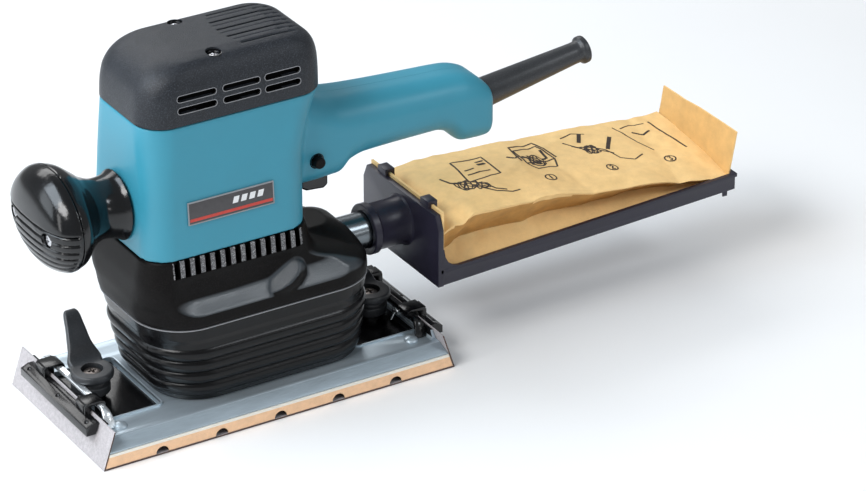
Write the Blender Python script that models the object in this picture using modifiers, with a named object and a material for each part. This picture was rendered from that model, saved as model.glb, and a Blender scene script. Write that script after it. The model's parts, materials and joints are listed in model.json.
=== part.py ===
"""Half-sheet orbital sander with clamp levers and a dust-bag tray.

Frame: the origin is the centre of the sanding face.  +X runs to the rear handle
and the dust bag, -X to the front knob, +Z up.  The modelling functions take
millimetres and MM turns them into metres.
"""
import math

import bmesh
import bpy
from mathutils import Matrix, Vector

MM = 0.001
GAP = 0.3                    # clearance between touching pieces

# Sanding base
PAD_HALF_LENGTH = 114.5
PAD_HALF_WIDTH = 57.5
END_LEAN = 0.333             # the end faces lean inward by this much per unit of height
SHEET_THICKNESS = 0.8
INSIDE_SHEET = -SHEET_THICKNESS - GAP
FLAP_TOP = 22.5
PAD_TOP = 9.0
PLATE_BOTTOM = PAD_TOP + GAP
PLATE_TOP = 15.3
PLATE_TOP_HALF_WIDTH = 50.0
LIP_TOP = 21.8
GROOVE_PITCH = 38.0
GROOVE_RADIUS = 4.0

# Paper clamps, one at each end
LEVER_X = 91.0
HINGE_X = 101.5
HINGE_Z = 25.0
JAW_HALF_WIDTH = 41.0

# Drive line
MOTOR_X = -18.0
ORBIT_RADIUS = 2.4
ECCENTRIC_X = MOTOR_X + ORBIT_RADIUS
SHAFT_RADIUS = 4.0

# Casings
SEAM_LOW = 65.5              # skirt to lower housing
SEAM_MID = 108.0             # lower housing to motor housing
SEAM_TOP = 187.0             # motor housing to top cover
WALL = 2.6
NOZZLE_Z = 71.5
NOZZLE_RADIUS = 11.0
KNOB_Z = 130.5
KNOB_SEAM = -110.3

# Rear handle and cord guard
BUTTON = Vector((43.4, -24.0, 137.7))
GUARD_START = Vector((160.0, 0.0, 138.0))
GUARD_TILT = math.radians(9.0)
GUARD_LENGTH = 80.0

# Bag holder: the tray climbs gently to the rear
HOLDER_X = 116.0
TRAY_END = 322.0
TRAY_FLOOR = 45.6
TRAY_SLOPE = 0.042
TRAY_HALF_WIDTH = 42.5


# ---------------------------------------------------------------- scene helpers

def clear_scene():
    for item in list(bpy.data.objects):
        bpy.data.objects.remove(item, do_unlink=True)


def make_collection(name):
    group = bpy.data.collections.new(name)
    bpy.context.scene.collection.children.link(group)
    return group


clear_scene()
SANDER = make_collection("orbital_sander")
CUTTERS = make_collection("cutters")


def material(name, colour, roughness, metallic=0.0):
    paint = bpy.data.materials.new(name)
    paint.use_nodes = True
    shader = paint.node_tree.nodes["Principled BSDF"]
    shader.inputs["Base Color"].default_value = (*colour, 1.0)
    shader.inputs["Roughness"].default_value = roughness
    shader.inputs["Metallic"].default_value = metallic
    return paint


BLUE = (0.045, 0.30, 0.43)
BLACK = (0.014, 0.014, 0.016)
DARK = (0.035, 0.037, 0.042)
NAVY = (0.018, 0.020, 0.045)
STEEL = (0.55, 0.56, 0.58)
ALUMINIUM = (0.62, 0.68, 0.74)
COPPER = (0.50, 0.20, 0.08)


def finish_object(name, mesh, colour, roughness=0.5, metallic=0.0, parent=None):
    """Link a mesh as a named object with its own material."""
    piece = bpy.data.objects.new(name, mesh)
    SANDER.objects.link(piece)
    mesh.materials.clear()
    mesh.materials.append(material(name, colour, roughness, metallic))
    mesh.shade_smooth()
    mesh.set_sharp_from_angle(angle=math.radians(32))
    if parent is not None:
        piece.parent = parent
        piece.matrix_parent_inverse = parent.matrix_world.inverted()
    return piece


def pivot(name, x, y, z):
    """An empty on a joint's axis, which the moving pieces hang on."""
    empty = bpy.data.objects.new(name, None)
    empty.location = Vector((x, y, z)) * MM
    SANDER.objects.link(empty)
    bpy.context.view_layer.update()
    return empty


def as_cutter(bm, name):
    """A hidden tool for a Boolean modifier."""
    bmesh.ops.recalc_face_normals(bm, faces=bm.faces)
    mesh = bpy.data.meshes.new(name)
    bm.to_mesh(mesh)
    bm.free()
    tool = bpy.data.objects.new(name, mesh)
    CUTTERS.objects.link(tool)
    tool.hide_render = True
    tool.display_type = "WIRE"
    return tool


def combine(piece, bm, operation="DIFFERENCE"):
    tool = as_cutter(bm, piece.name + "_" + operation.lower())
    step = piece.modifiers.new(tool.name, "BOOLEAN")
    step.operation = operation
    step.solver = "EXACT"
    step.object = tool
    return piece


def solid(name, bm, colour, roughness=0.5, metallic=0.0, parent=None):
    bmesh.ops.recalc_face_normals(bm, faces=bm.faces)
    mesh = bpy.data.meshes.new(name)
    bm.to_mesh(mesh)
    bm.free()
    return finish_object(name, mesh, colour, roughness, metallic, parent)


# ---------------------------------------------------------------- shape helpers

def add_box(bm, low, high):
    centre = (Vector(low) + Vector(high)) * 0.5 * MM
    size = (Vector(high) - Vector(low)) * MM
    place = Matrix.Translation(centre) @ Matrix.Diagonal((*size, 1.0))
    bmesh.ops.create_cube(bm, size=1.0, matrix=place)
    return bm


def box(low, high):
    return add_box(bmesh.new(), low, high)


def boxes(pairs):
    bm = bmesh.new()
    for low, high in pairs:
        add_box(bm, low, high)
    return bm


def add_cylinder(bm, start, end, radius, sides=24, end_radius=None):
    """A capped cylinder or cone between two points."""
    start = Vector(start)
    end = Vector(end)
    run = end - start
    turn = run.to_track_quat("Z", "Y").to_matrix().to_4x4()
    place = Matrix.Translation((start + end) * 0.5 * MM) @ turn
    bmesh.ops.create_cone(
        bm, cap_ends=True, segments=sides, radius1=radius * MM,
        radius2=(radius if end_radius is None else end_radius) * MM,
        depth=run.length * MM, matrix=place)
    return bm


def cylinder(start, end, radius, sides=24, end_radius=None):
    return add_cylinder(bmesh.new(), start, end, radius, sides, end_radius)


def turned(name, profile, colour, roughness=0.4, metallic=0.0, centre=(0, 0), sides=32, parent=None):
    """A turned piece about Z: profile is a closed loop of (radius, height)."""
    mesh = bpy.data.meshes.new(name)
    points = [Vector((r, 0, z)) * MM for r, z in profile]
    edges = [(i, (i + 1) % len(points)) for i in range(len(points))]
    mesh.from_pydata(points, edges, [])
    piece = finish_object(name, mesh, colour, roughness, metallic)
    piece.location = Vector((centre[0], centre[1], 0)) * MM
    if parent is not None:
        bpy.context.view_layer.update()
        piece.parent = parent
        piece.matrix_parent_inverse = parent.matrix_world.inverted()
    screw = piece.modifiers.new("turn", "SCREW")
    screw.steps = sides
    screw.render_steps = sides
    screw.use_merge_vertices = True
    screw.merge_threshold = 0.00001
    screw.use_smooth_shade = True
    return piece


def round_rect(low_u, high_u, low_v, high_v, radius, corner_steps=4):
    """Outline of a rectangle with round corners, anticlockwise."""
    outline = []
    corners = ((high_u - radius, high_v - radius, 0), (low_u + radius, high_v - radius, 90),
               (low_u + radius, low_v + radius, 180), (high_u - radius, low_v + radius, 270))
    for centre_u, centre_v, start in corners:
        for step in range(corner_steps + 1):
            angle = math.radians(start + 90 * step / corner_steps)
            outline.append((centre_u + radius * math.cos(angle), centre_v + radius * math.sin(angle)))
    return outline


def flat_ring(z, x0, x1, half_y, radius, inset=0.0):
    """A rounded rectangle lying flat at height z."""
    ring = round_rect(x0 + inset, x1 - inset, -half_y + inset, half_y - inset, max(radius - inset, 2))
    return [Vector((u, v, z)) * MM for u, v in ring]


def upright_ring(x, half_y, z0, z1, radius, inset=0.0):
    """A rounded rectangle standing across the length at x."""
    radius = min(radius, 0.45 * (z1 - z0))
    ring = round_rect(-half_y + inset, half_y - inset, z0 + inset, z1 - inset, max(radius - inset, 1.5))
    return [Vector((x, u, v)) * MM for u, v in ring]


def oval_ring(x, half_y, half_z, centre_z, inset=0.0, sides=24):
    ring = []
    for step in range(sides):
        angle = 2 * math.pi * step / sides
        ring.append(Vector((x, (half_y - inset) * math.cos(angle),
                            centre_z + (half_z - inset) * math.sin(angle))) * MM)
    return ring


def loft(rings, capped=True):
    """Skin a run of rings that have equal point counts."""
    bm = bmesh.new()
    loops = [[bm.verts.new(point) for point in ring] for ring in rings]
    count = len(loops[0])
    for lower, upper in zip(loops, loops[1:]):
        for i in range(count):
            j = (i + 1) % count
            bm.faces.new((lower[i], lower[j], upper[j], upper[i]))
    if capped:
        bm.faces.new(reversed(loops[0]))
        bm.faces.new(loops[-1])
    bmesh.ops.recalc_face_normals(bm, faces=bm.faces)
    return bm


def prism(outline, low_y, high_y):
    """Extrude an outline of (x, z) points across the width."""
    return loft([[Vector((x, low_y, z)) * MM for x, z in outline],
                 [Vector((x, high_y, z)) * MM for x, z in outline]])


def end_line(z, offset=0.0):
    """Distance of the leaning end face from the centre at height z."""
    return PAD_HALF_LENGTH - END_LEAN * z + offset


# ---------------------------------------------------------------- casings

MOTOR_SECTIONS = (            # height, front, rear, half width, corner radius
    (SEAM_MID + GAP, -71.5, 31.0, 40.5, 16.0),
    (150.0, -69.8, 33.0, 37.7, 16.0),
    (172.0, -69.3, 39.0, 36.0, 17.0),
    (SEAM_TOP - GAP, -68.8, 45.5, 35.0, 18.0),
)
HANDLE_SECTIONS = (           # x, half width, low z, high z, corner radius
    (22.0, 24.0, 121.0, 181.0, 14.0),
    (45.0, 24.0, 120.0, 173.0, 15.0),
    (61.0, 23.5, 120.0, 167.0, 16.0),
    (69.0, 23.0, 126.0, 165.8, 16.0),
    (80.0, 22.0, 128.2, 165.0, 16.0),
    (128.0, 20.5, 128.6, 162.0, 15.0),
    (137.0, 20.3, 126.0, 161.6, 15.0),
    (147.0, 20.0, 118.0, 160.4, 14.0),
    (157.0, 19.3, 117.5, 157.0, 13.0),
    (163.0, 18.3, 118.6, 152.0, 10.0),
    (166.0, 15.5, 123.0, 148.5, 7.0),
)
LOWER_SECTIONS = (
    (SEAM_LOW + GAP, -72.0, 75.0, 47.5, 31.0),
    (76.0, -74.0, 75.0, 48.0, 31.0),
    (83.0, -75.5, 56.0, 41.5, 22.0),
    (SEAM_MID, -72.0, 32.5, 41.0, 17.0),
)
HUMP_SECTIONS = (
    (SEAM_LOW + GAP, -20.0, 75.0, 38.0, 20.0),
    (78.0, -20.0, 75.2, 37.0, 18.0),
    (84.0, -20.0, 69.5, 31.0, 14.0),
    (93.0, -20.0, 60.5, 24.0, 11.0),
)


def motor_rings(inset=0.0):
    return [flat_ring(z, x0, x1, hy, r, inset) for z, x0, x1, hy, r in MOTOR_SECTIONS]


def handle_rings(inset=0.0):
    return [upright_ring(x, hy, z0, z1, r, inset) for x, hy, z0, z1, r in HANDLE_SECTIONS]


def half_space(side):
    """A big block on one side of the handle's split plane."""
    if side < 0:
        return box((-200, -200, 0), (400, -GAP / 2, 300))
    return box((-200, GAP / 2, 0), (400, 200, 300))


def stretched(rings, below, above):
    """Carry the first and last ring past the ends so that a cutter breaks through."""
    first = [point + Vector((0, 0, -below)) * MM for point in rings[0]]
    last = [point + Vector((0, 0, above)) * MM for point in rings[-1]]
    return [first, *rings, last]


def handle_cavity():
    rings = [upright_ring(x, hy, z0, z1, r, WALL) for x, hy, z0, z1, r in HANDLE_SECTIONS[:-2]]
    return loft(rings)


def handle_openings():
    """Holes shared by both handle shells: trigger slot and cord guard seat."""
    bm = box((41.5, -8.2, 105), (61.5, 8.2, 132))
    along = Vector((math.cos(GUARD_TILT), 0, math.sin(GUARD_TILT)))
    add_cylinder(bm, GUARD_START - along * 6, GUARD_START + along * 14, 9.9)
    return bm


def build_motor_housing():
    shell = solid("motor_housing", loft(motor_rings()), BLUE, 0.42)
    handle = solid("motor_housing_handle", loft(handle_rings()), BLUE, 0.42)
    combine(handle, half_space(-1), "INTERSECT")
    move_to_cutters(handle)
    join = shell.modifiers.new("handle", "BOOLEAN")
    join.operation = "UNION"
    join.solver = "EXACT"
    join.object = handle
    combine(shell, loft(stretched(motor_rings(WALL), 3, 3)))
    combine(shell, handle_cavity())
    combine(shell, handle_openings())
    front = MOTOR_SECTIONS[0][1]
    holes = cylinder((front - 10, 0, KNOB_Z), (front + 12, 0, KNOB_Z), 4.4)
    add_cylinder(holes, BUTTON + Vector((0, -8, 0)), BUTTON + Vector((0, 10, 0)), 3.9, 20)
    combine(shell, holes)


def move_to_cutters(piece):
    SANDER.objects.unlink(piece)
    CUTTERS.objects.link(piece)
    piece.hide_render = True
    piece.display_type = "WIRE"


def build_handle_cover():
    cover = solid("handle_cover", loft(handle_rings()), BLUE, 0.42)
    combine(cover, half_space(1), "INTERSECT")
    combine(cover, loft(stretched(motor_rings(-GAP), 3, 3)))
    combine(cover, handle_cavity())
    combine(cover, handle_openings())


def build_top_cover():
    sections = (
        (SEAM_TOP, -69.0, 46.0, 35.4, 18.0), (205.0, -67.8, 45.6, 34.6, 18.0),
        (214.0, -62.5, 43.0, 32.0, 17.0), (219.5, -52.0, 37.0, 27.0, 15.0),
        (221.5, -43.0, 28.0, 19.0, 12.0))
    cover = solid("top_cover", loft([flat_ring(*row) for row in sections]), DARK, 0.6)
    inner = [flat_ring(z - 2.4, x0, x1, hy, r, WALL) for z, x0, x1, hy, r in sections[:-1]]
    combine(cover, loft(inner))
    slots = bmesh.new()
    for start, end in ((-49.6, -25.4), (-21.2, 2.0), (5.2, 27.4)):
        for height in (196.5, 203.5):
            add_box(slots, (start, -60, height - 1.8), (end, 60, height + 1.8))
    combine(cover, slots)
    recesses = bmesh.new()
    shafts = bmesh.new()
    for side in (-1, 1):
        add_cylinder(recesses, (-20, side * 22.5, 217.3), (-20, side * 22.5, 225), 4.6, 16)
        add_cylinder(shafts, (-20, side * 22.5, 190), (-20, side * 22.5, 225), 2.4, 10)
    combine(cover, recesses)
    combine(cover, shafts)


def build_lower_housing():
    housing = solid("lower_housing", loft([flat_ring(*row) for row in LOWER_SECTIONS]), BLACK, 0.55)
    combine(housing, loft([flat_ring(*row) for row in HUMP_SECTIONS]), "UNION")
    boss = cylinder((55, 0, NOZZLE_Z), (75.3, 0, NOZZLE_Z), 13.4, 32)
    combine(housing, boss, "UNION")
    floor_top = 69.5
    rows = [(floor_top, *LOWER_SECTIONS[0][1:]), *LOWER_SECTIONS[1:], (SEAM_MID + 3, *LOWER_SECTIONS[-1][1:])]
    combine(housing, loft([flat_ring(*row, WALL) for row in rows]))
    rear = [(floor_top, *HUMP_SECTIONS[0][1:]), *HUMP_SECTIONS[1:3], (90.4, -20, 61, 24.5, 11)]
    combine(housing, loft([flat_ring(*row, WALL) for row in rear]))
    openings = bmesh.new()
    first_slot, pitch, width = -58.0, 6.4, 3.4
    for i in range(12):
        left = first_slot + pitch * i
        add_box(openings, (left, -60, 97.5), (left + width, 60, SEAM_MID + 2))
    combine(housing, openings)
    bores = cylinder((50, 0, NOZZLE_Z), (90, 0, NOZZLE_Z), NOZZLE_RADIUS + GAP, 32)
    combine(housing, bores)
    combine(housing, cylinder((MOTOR_X, 0, 60), (MOTOR_X, 0, 75), 13.0, 32))


def build_skirt():
    """Rubber bellows: an open sleeve with four ribs and a smooth band."""
    low, rib_low, rib_high, high = 16.0, 20.0, 52.0, SEAM_LOW - 2 * GAP
    ribs, depth, steps_per_rib = 4, 1.3, 3
    heights = [low] + [rib_low + (rib_high - rib_low) * i / (ribs * steps_per_rib)
                       for i in range(ribs * steps_per_rib + 1)] + [57.0, high]
    rings = []
    for z in heights:
        share = (z - low) / (high - low)
        swell = 0.0
        if rib_low <= z <= rib_high:
            turn = (z - rib_low) / (rib_high - rib_low) * ribs
            swell = depth * 0.5 * (1 - math.cos(2 * math.pi * turn))
        rings.append(flat_ring(z, -60 - 11.5 * share - swell, 72 + 2.5 * share + swell,
                               41 + 6 * share + swell, 28 + 3 * share))
    bm = loft(rings, capped=False)
    bmesh.ops.recalc_face_normals(bm, faces=bm.faces)
    skirt = solid("skirt", bm, BLACK, 0.45)
    shell = skirt.modifiers.new("wall", "SOLIDIFY")
    shell.thickness = 2.2 * MM
    shell.offset = -1
    combine(skirt, cylinder((50, 0, NOZZLE_Z), (95, 0, NOZZLE_Z), 13.4 + GAP, 32))


def build_front_knob():
    rear = ((-71.6, 21, 21, 130.5), (-76, 18.5, 18.5, 130.5), (-84, 17.5, 17.5, 131),
            (-92, 21, 20, 131.5), (-99, 28, 25, 132), (-105, 35, 28.5, 132.5), (KNOB_SEAM, 37.5, 30, 132.5))
    front = ((KNOB_SEAM - GAP, 37.5, 30, 132.5), (-116, 36.5, 28.5, 132.5), (-121.5, 32, 24, 132.5),
             (-125.5, 22, 15, 132.5), (-127.3, 8, 5, 132.5))
    knob = solid("knob_rear", loft([oval_ring(*row) for row in rear]), BLACK, 0.25)
    combine(knob, cylinder((-60, 0, KNOB_Z), (-106, 0, KNOB_Z), 4.4, 16))
    sockets = cylinder((-101, 0, KNOB_Z), (-116, 0, KNOB_Z), 8.5, 20)
    for side in (-1, 1):
        add_cylinder(sockets, (-116, side * 20, 131), (-103, side * 20, 131), 1.9, 12)
    combine(knob, sockets)
    cap = solid("knob_front", loft([oval_ring(*row) for row in front]), BLACK, 0.25)
    hollow = ((-108, 34.0, 26.5, 132.5), (-113, 32.5, 25.0, 132.5), (-117.0, 26.0, 19.0, 132.5))
    combine(cap, loft([oval_ring(*row) for row in hollow]))
    recess = bmesh.new()
    shafts = bmesh.new()
    for side in (-1, 1):
        add_cylinder(recess, (-122.5, side * 20, 131), (-131, side * 20, 131), 4.4, 16)
        add_cylinder(shafts, (-108, side * 20, 131), (-131, side * 20, 131), 1.9, 12)
    combine(cap, recess)
    combine(cap, shafts)
    bolt = solid("knob_bolt", cylinder((-64, 0, KNOB_Z), (-105, 0, KNOB_Z), 4.0, 16), STEEL, 0.3, 1.0)
    combine(bolt, cylinder((-104, 0, KNOB_Z), (-109, 0, KNOB_Z), 7.0, 6), "UNION")
    for name, side in (("knob_screw_near", -1), ("knob_screw_far", 1)):
        shank = cylinder((-124.5, side * 20, 131), (-105, side * 20, 131), 1.5, 12)
        screw = solid(name, shank, STEEL, 0.3, 1.0)
        combine(screw, cylinder((-122.9, side * 20, 131), (-125.2, side * 20, 131), 3.7, 16), "UNION")


def build_nameplate():
    """A slim plate that follows the leaning side wall."""
    rise = (MOTOR_SECTIONS[1][3] - MOTOR_SECTIONS[0][3]) / (MOTOR_SECTIONS[1][0] - MOTOR_SECTIONS[0][0])

    def wall_y(z, off):
        return -(MOTOR_SECTIONS[0][3] + rise * (z - MOTOR_SECTIONS[0][0]) + off)

    bm = bmesh.new()
    corners = []
    for z in (128.0, 141.5):
        for off in (GAP, GAP + 0.8):
            corners.append([bm.verts.new(Vector((x, wall_y(z, off), z)) * MM) for x in (-47.5, 6.7)])
    (a, b), (c, d), (e, f), (g, h) = corners
    for face in ((a, b, d, c), (e, g, h, f), (a, c, g, e), (b, f, h, d), (c, d, h, g), (a, e, f, b)):
        bm.faces.new(face)
    solid("nameplate", bm, DARK, 0.35)


def build_cord_guard():
    """Tapered rubber sleeve, turned about its own axis and tilted up."""
    guard = turned("cord_guard", (
        (9.4, 6.0), (9.4, 0.0), (3.6, 0.0), (3.6, GUARD_LENGTH - 14), (4.4, GUARD_LENGTH - 14),
        (4.4, GUARD_LENGTH), (8.4, GUARD_LENGTH), (8.4, GUARD_LENGTH - 4), (6.4, GUARD_LENGTH - 6),
        (9.2, 6.0)), BLACK, 0.5, sides=24)
    guard.rotation_euler = (0, math.pi / 2 - GUARD_TILT, 0)
    guard.location = GUARD_START * MM


# ---------------------------------------------------------------- drive line

def build_drive():
    spin = pivot("armature_axis", MOTOR_X, 0, 0)
    axis = (MOTOR_X, 0)
    turned("armature_shaft", ((SHAFT_RADIUS, 184.0), (SHAFT_RADIUS, 41.0), (0.0, 41.0), (0.0, 184.0)),
           STEEL, 0.25, 1.0, axis, 20, spin)
    bore = SHAFT_RADIUS + GAP
    rings = (
        ("armature_core", 24.0, 116.0, 160.0, STEEL, 0.5),
        ("lower_winding", 21.0, 109.5, 115.7, COPPER, 0.5),
        ("upper_winding", 21.0, 160.3, 165.2, COPPER, 0.5),
        ("commutator", 11.0, 165.6, 178.5, COPPER, 0.3))
    for name, radius, low, high, colour, roughness in rings:
        turned(name, ((radius, high), (radius, low), (bore, low), (bore, high)),
               colour, roughness, 0.8, axis, 28, spin)
    fan = turned("fan", ((30.0, 86.0), (30.0, 84.0), (bore, 84.0), (bore, 96.0), (8.0, 96.0), (9.0, 86.0)),
                 (0.70, 0.70, 0.66), 0.5, 0.0, axis, 36, spin)
    blades = bmesh.new()
    for i in range(10):
        turn = Matrix.Rotation(2 * math.pi * i / 10, 4, "Z")
        place = turn @ Matrix.Translation(Vector((19, 0, 90.2)) * MM)
        place = place @ Matrix.Diagonal((*(Vector((20, 1.8, 9.6)) * MM), 1.0))
        bmesh.ops.create_cube(blades, size=1.0, matrix=place)
    tool = as_cutter(blades, "fan_blades")
    tool.location = Vector((MOTOR_X, 0, 0)) * MM
    step = fan.modifiers.new("blades", "BOOLEAN")
    step.operation = "UNION"
    step.object = tool
    hub = cylinder((MOTOR_X, 0, 36), (MOTOR_X, 0, 62), 9.5, 28)
    weight = solid("eccentric_weight", hub, STEEL, 0.45, 0.9, spin)
    half = [(26 * math.cos(math.radians(a)), 26 * math.sin(math.radians(a))) for a in range(100, 261, 16)]
    block = loft([[Vector((MOTOR_X + x, y, z)) * MM for x, y in half] for z in (42, 54)])
    combine(weight, block, "UNION")
    combine(weight, cylinder((ECCENTRIC_X, 0, 23), (ECCENTRIC_X, 0, 37), 5.6, 24), "UNION")
    combine(weight, cylinder((MOTOR_X, 0, 40.5), (MOTOR_X, 0, 66), bore, 24))


def bearing(name, centre, low, high, inner, outer, parent=None):
    turned(name, ((outer, high), (outer, low), (inner, low), (inner, high)), STEEL, 0.25, 1.0,
           centre, 28, parent)


def build_motor_internals():
    axis = (MOTOR_X, 0)
    turned("stator_core", ((32.0, 158.0), (32.0, 118.0), (25.2, 118.0), (25.2, 158.0)),
           (0.25, 0.25, 0.27), 0.6, 0.6, axis, 36)
    bracket = solid("motor_bracket", box((-54, -29, 181), (20, 29, 185.5)), BLACK, 0.6)
    holes = cylinder((MOTOR_X, 0, 170), (MOTOR_X, 0, 190), 11.4, 28)
    for side in (-1, 1):
        add_cylinder(holes, (-20, side * 22.5, 175), (-20, side * 22.5, 190), 2.4, 12)
    combine(bracket, holes)
    bearing("upper_bearing", axis, 179.2, 186.0, SHAFT_RADIUS + GAP, 11.0)
    bearing("lower_bearing", axis, 67.0, 75.0, SHAFT_RADIUS + GAP, 12.6)
    sheet = loft([flat_ring(z, -66.5, 27.5, 36.5, 13) for z in (104.0, 106.5)])
    baffle = solid("air_baffle", sheet, BLACK, 0.6)
    combine(baffle, cylinder((MOTOR_X, 0, 100), (MOTOR_X, 0, 110), 18, 32))
    for name, side in (("cover_screw_near", -1), ("cover_screw_far", 1)):
        y = side * 22.5
        screw = solid(name, cylinder((-20, y, 178), (-20, y, 219), 2.0, 12), STEEL, 0.3, 1.0)
        combine(screw, cylinder((-20, y, 217.7), (-20, y, 219.6), 4.1, 20), "UNION")


def build_brushes():
    """Carbon brushes press on the commutator and slide in their holders."""
    for word, side in (("near", -1), ("far", 1)):
        low, high = sorted((side * 17, side * 32.4))
        holder = solid("brush_holder_" + word, box((MOTOR_X - 6, low, 166.5), (MOTOR_X + 6, high, 177.5)),
                       (0.75, 0.55, 0.2), 0.35, 0.9)
        combine(holder, box((MOTOR_X - 3.5, -50, 168.4), (MOTOR_X + 3.5, 50, 175.6)))
        low, high = sorted((side * 11.3, side * 24.0))
        slide = pivot("brush_axis_" + word, MOTOR_X, side * 18, 172)
        solid("brush_" + word, box((MOTOR_X - 3.2, low, 168.8), (MOTOR_X + 3.2, high, 175.2)),
              (0.03, 0.03, 0.03), 0.8, 0.0, slide)
        coil("brush_spring_" + word, Vector((MOTOR_X, side * 24.8, 172)), side * 7.0, 2.5, 0.5, 3)


def coil(name, start, length, radius, wire, turns):
    """A spring along Y as a thick poly curve."""
    curve = bpy.data.curves.new(name, "CURVE")
    curve.dimensions = "3D"
    curve.bevel_depth = wire * MM
    curve.bevel_resolution = 1
    curve.use_fill_caps = True
    curve.render_resolution_u = 0
    steps = 7
    line = curve.splines.new("POLY")
    line.points.add(turns * steps)
    for i in range(turns * steps + 1):
        angle = 2 * math.pi * i / steps
        along = length * i / (turns * steps)
        point = start + Vector((radius * math.cos(angle), along, radius * math.sin(angle)))
        line.points[i].co = (*(point * MM), 1.0)
    curve.materials.append(material(name, STEEL, 0.3, 1.0))
    spring = bpy.data.objects.new(name, curve)
    SANDER.objects.link(spring)


def build_handle_internals():
    solid("switch_block", box((40, -8, 133.6), (76, 8, 158)), BLACK, 0.6)
    clamp = solid("cord_clamp", box((138, -11, 131.5), (146, 11, 136.5)), BLACK, 0.6)
    combine(clamp, cylinder((130, 0, 140), (150, 0, 140), 4.6, 20))
    trigger_axis = pivot("trigger_axis", 51, 0, 120)
    shape = [(43, 127), (43, 112.5), (46, 110.6), (57, 109.6), (60, 111.5), (60, 127)]
    trigger = solid("trigger", prism(shape, -7.6, 7.6), BLACK, 0.35, 0.0, trigger_axis)
    edge = trigger.modifiers.new("edges", "BEVEL")
    edge.width = 1.2 * MM
    edge.segments = 2
    edge.angle_limit = math.radians(50)
    button_axis = pivot("lock_button_axis", *BUTTON)
    turned_button = cylinder(BUTTON + Vector((0, -4.6, 0)), BUTTON + Vector((0, 9.5, 0)), 3.4, 20)
    button = solid("lock_button", turned_button, BLACK, 0.3, 0.0, button_axis)
    round_edge = button.modifiers.new("edges", "BEVEL")
    round_edge.width = 0.8 * MM
    round_edge.segments = 2
    round_edge.angle_limit = math.radians(50)


# ---------------------------------------------------------------- sanding base

def build_base_plate():
    low, mid, top = PLATE_BOTTOM, PLATE_TOP, LIP_TOP
    lip = 2.0
    profile = [(-end_line(low, INSIDE_SHEET), low), (end_line(low, INSIDE_SHEET), low),
               (end_line(top, INSIDE_SHEET), top), (end_line(top, INSIDE_SHEET) - lip, top),
               (end_line(mid, INSIDE_SHEET) - lip, mid)]
    profile += [(-x, z) for x, z in reversed(profile[2:])]
    slab = prism(profile, -PAD_HALF_WIDTH + 0.5, PAD_HALF_WIDTH - 0.5)
    plate = solid("base_plate", slab, ALUMINIUM, 0.35, 0.9)
    trim = bmesh.new()
    for side in (-1, 1):
        edge = [(side * 70.0, -10.0), (side * 70.0, mid + 20), (side * PLATE_TOP_HALF_WIDTH, mid + 20),
                (side * PLATE_TOP_HALF_WIDTH, mid), (side * (PAD_HALF_WIDTH - 0.6), low + 0.6),
                (side * (PAD_HALF_WIDTH - 0.6), -10.0)]
        loops = [[trim.verts.new(Vector((x, y, z)) * MM) for y, z in edge] for x in (-140, 140)]
        for i in range(len(edge)):
            j = (i + 1) % len(edge)
            trim.faces.new((loops[0][i], loops[0][j], loops[1][j], loops[1][i]))
        trim.faces.new(loops[0])
        trim.faces.new(loops[1])
    combine(plate, trim)
    pockets = bmesh.new()
    for end in (-1, 1):
        low_x, high_x = sorted((end * 64, end * (end_line(mid, INSIDE_SHEET) - lip - 0.8)))
        add_box(pockets, (low_x, -31, 11.6), (high_x, 31, 40))
    combine(plate, pockets)
    towers = bmesh.new()
    for end in (-1, 1):
        add_cylinder(towers, (end * LEVER_X, 0, 10.5), (end * LEVER_X, 0, 17.4), 7.0, 24)
        for side in (-1, 1):
            low_x, high_x = sorted((end * (HINGE_X - 2.8), end * (HINGE_X + 2.8)))
            low_y, high_y = sorted((side * 33, side * 37))
            add_box(towers, (low_x, low_y, 14), (high_x, high_y, HINGE_Z + 2.8))
            add_cylinder(towers, (end * 95, side * 40.5, 14.5), (end * 95, side * 40.5, 17.4), 4.2, 16, 2.2)
    add_cylinder(towers, (ECCENTRIC_X, 0, 14), (ECCENTRIC_X, 0, 34), 17.5, 36)
    combine(plate, towers, "UNION")
    holes = cylinder((ECCENTRIC_X, 0, 22.5), (ECCENTRIC_X, 0, 40), 13.3, 32)
    for end in (-1, 1):
        add_cylinder(holes, (end * HINGE_X, -50, HINGE_Z), (end * HINGE_X, 50, HINGE_Z), 1.5 + GAP, 12)
        add_cylinder(holes, (end * LEVER_X, 0, 12.0), (end * LEVER_X, 0, 25), 2.5 + GAP, 16)
    combine(plate, holes)
    bearing("pad_bearing", (ECCENTRIC_X, 0), 23.0, 33.0, 5.9, 13.0)


def build_pad_and_sheet():
    bottom = SHEET_THICKNESS + GAP
    outline = [(-end_line(bottom, INSIDE_SHEET), bottom), (end_line(bottom, INSIDE_SHEET), bottom),
               (end_line(PAD_TOP, INSIDE_SHEET), PAD_TOP), (-end_line(PAD_TOP, INSIDE_SHEET), PAD_TOP)]
    pad = solid("pad", prism(outline, -PAD_HALF_WIDTH, PAD_HALF_WIDTH), (0.85, 0.56, 0.32), 0.9)
    grooves = bmesh.new()
    for i in range(-2, 3):
        x = i * GROOVE_PITCH - 1.5
        add_cylinder(grooves, (x, -70, bottom), (x, 70, bottom), GROOVE_RADIUS, 16)
    combine(pad, grooves)
    t = SHEET_THICKNESS
    sheet = [(-end_line(0), 0), (end_line(0), 0), (end_line(FLAP_TOP), FLAP_TOP),
             (end_line(FLAP_TOP, -t), FLAP_TOP), (end_line(t, -t), t), (-end_line(t, -t), t),
             (-end_line(FLAP_TOP, -t), FLAP_TOP), (-end_line(FLAP_TOP), FLAP_TOP)]
    solid("abrasive_sheet", prism(sheet, -PAD_HALF_WIDTH, PAD_HALF_WIDTH), (0.08, 0.03, 0.02), 0.95)


def mirrored(points, end):
    return [(end * x, z) for x, z in points]


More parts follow.
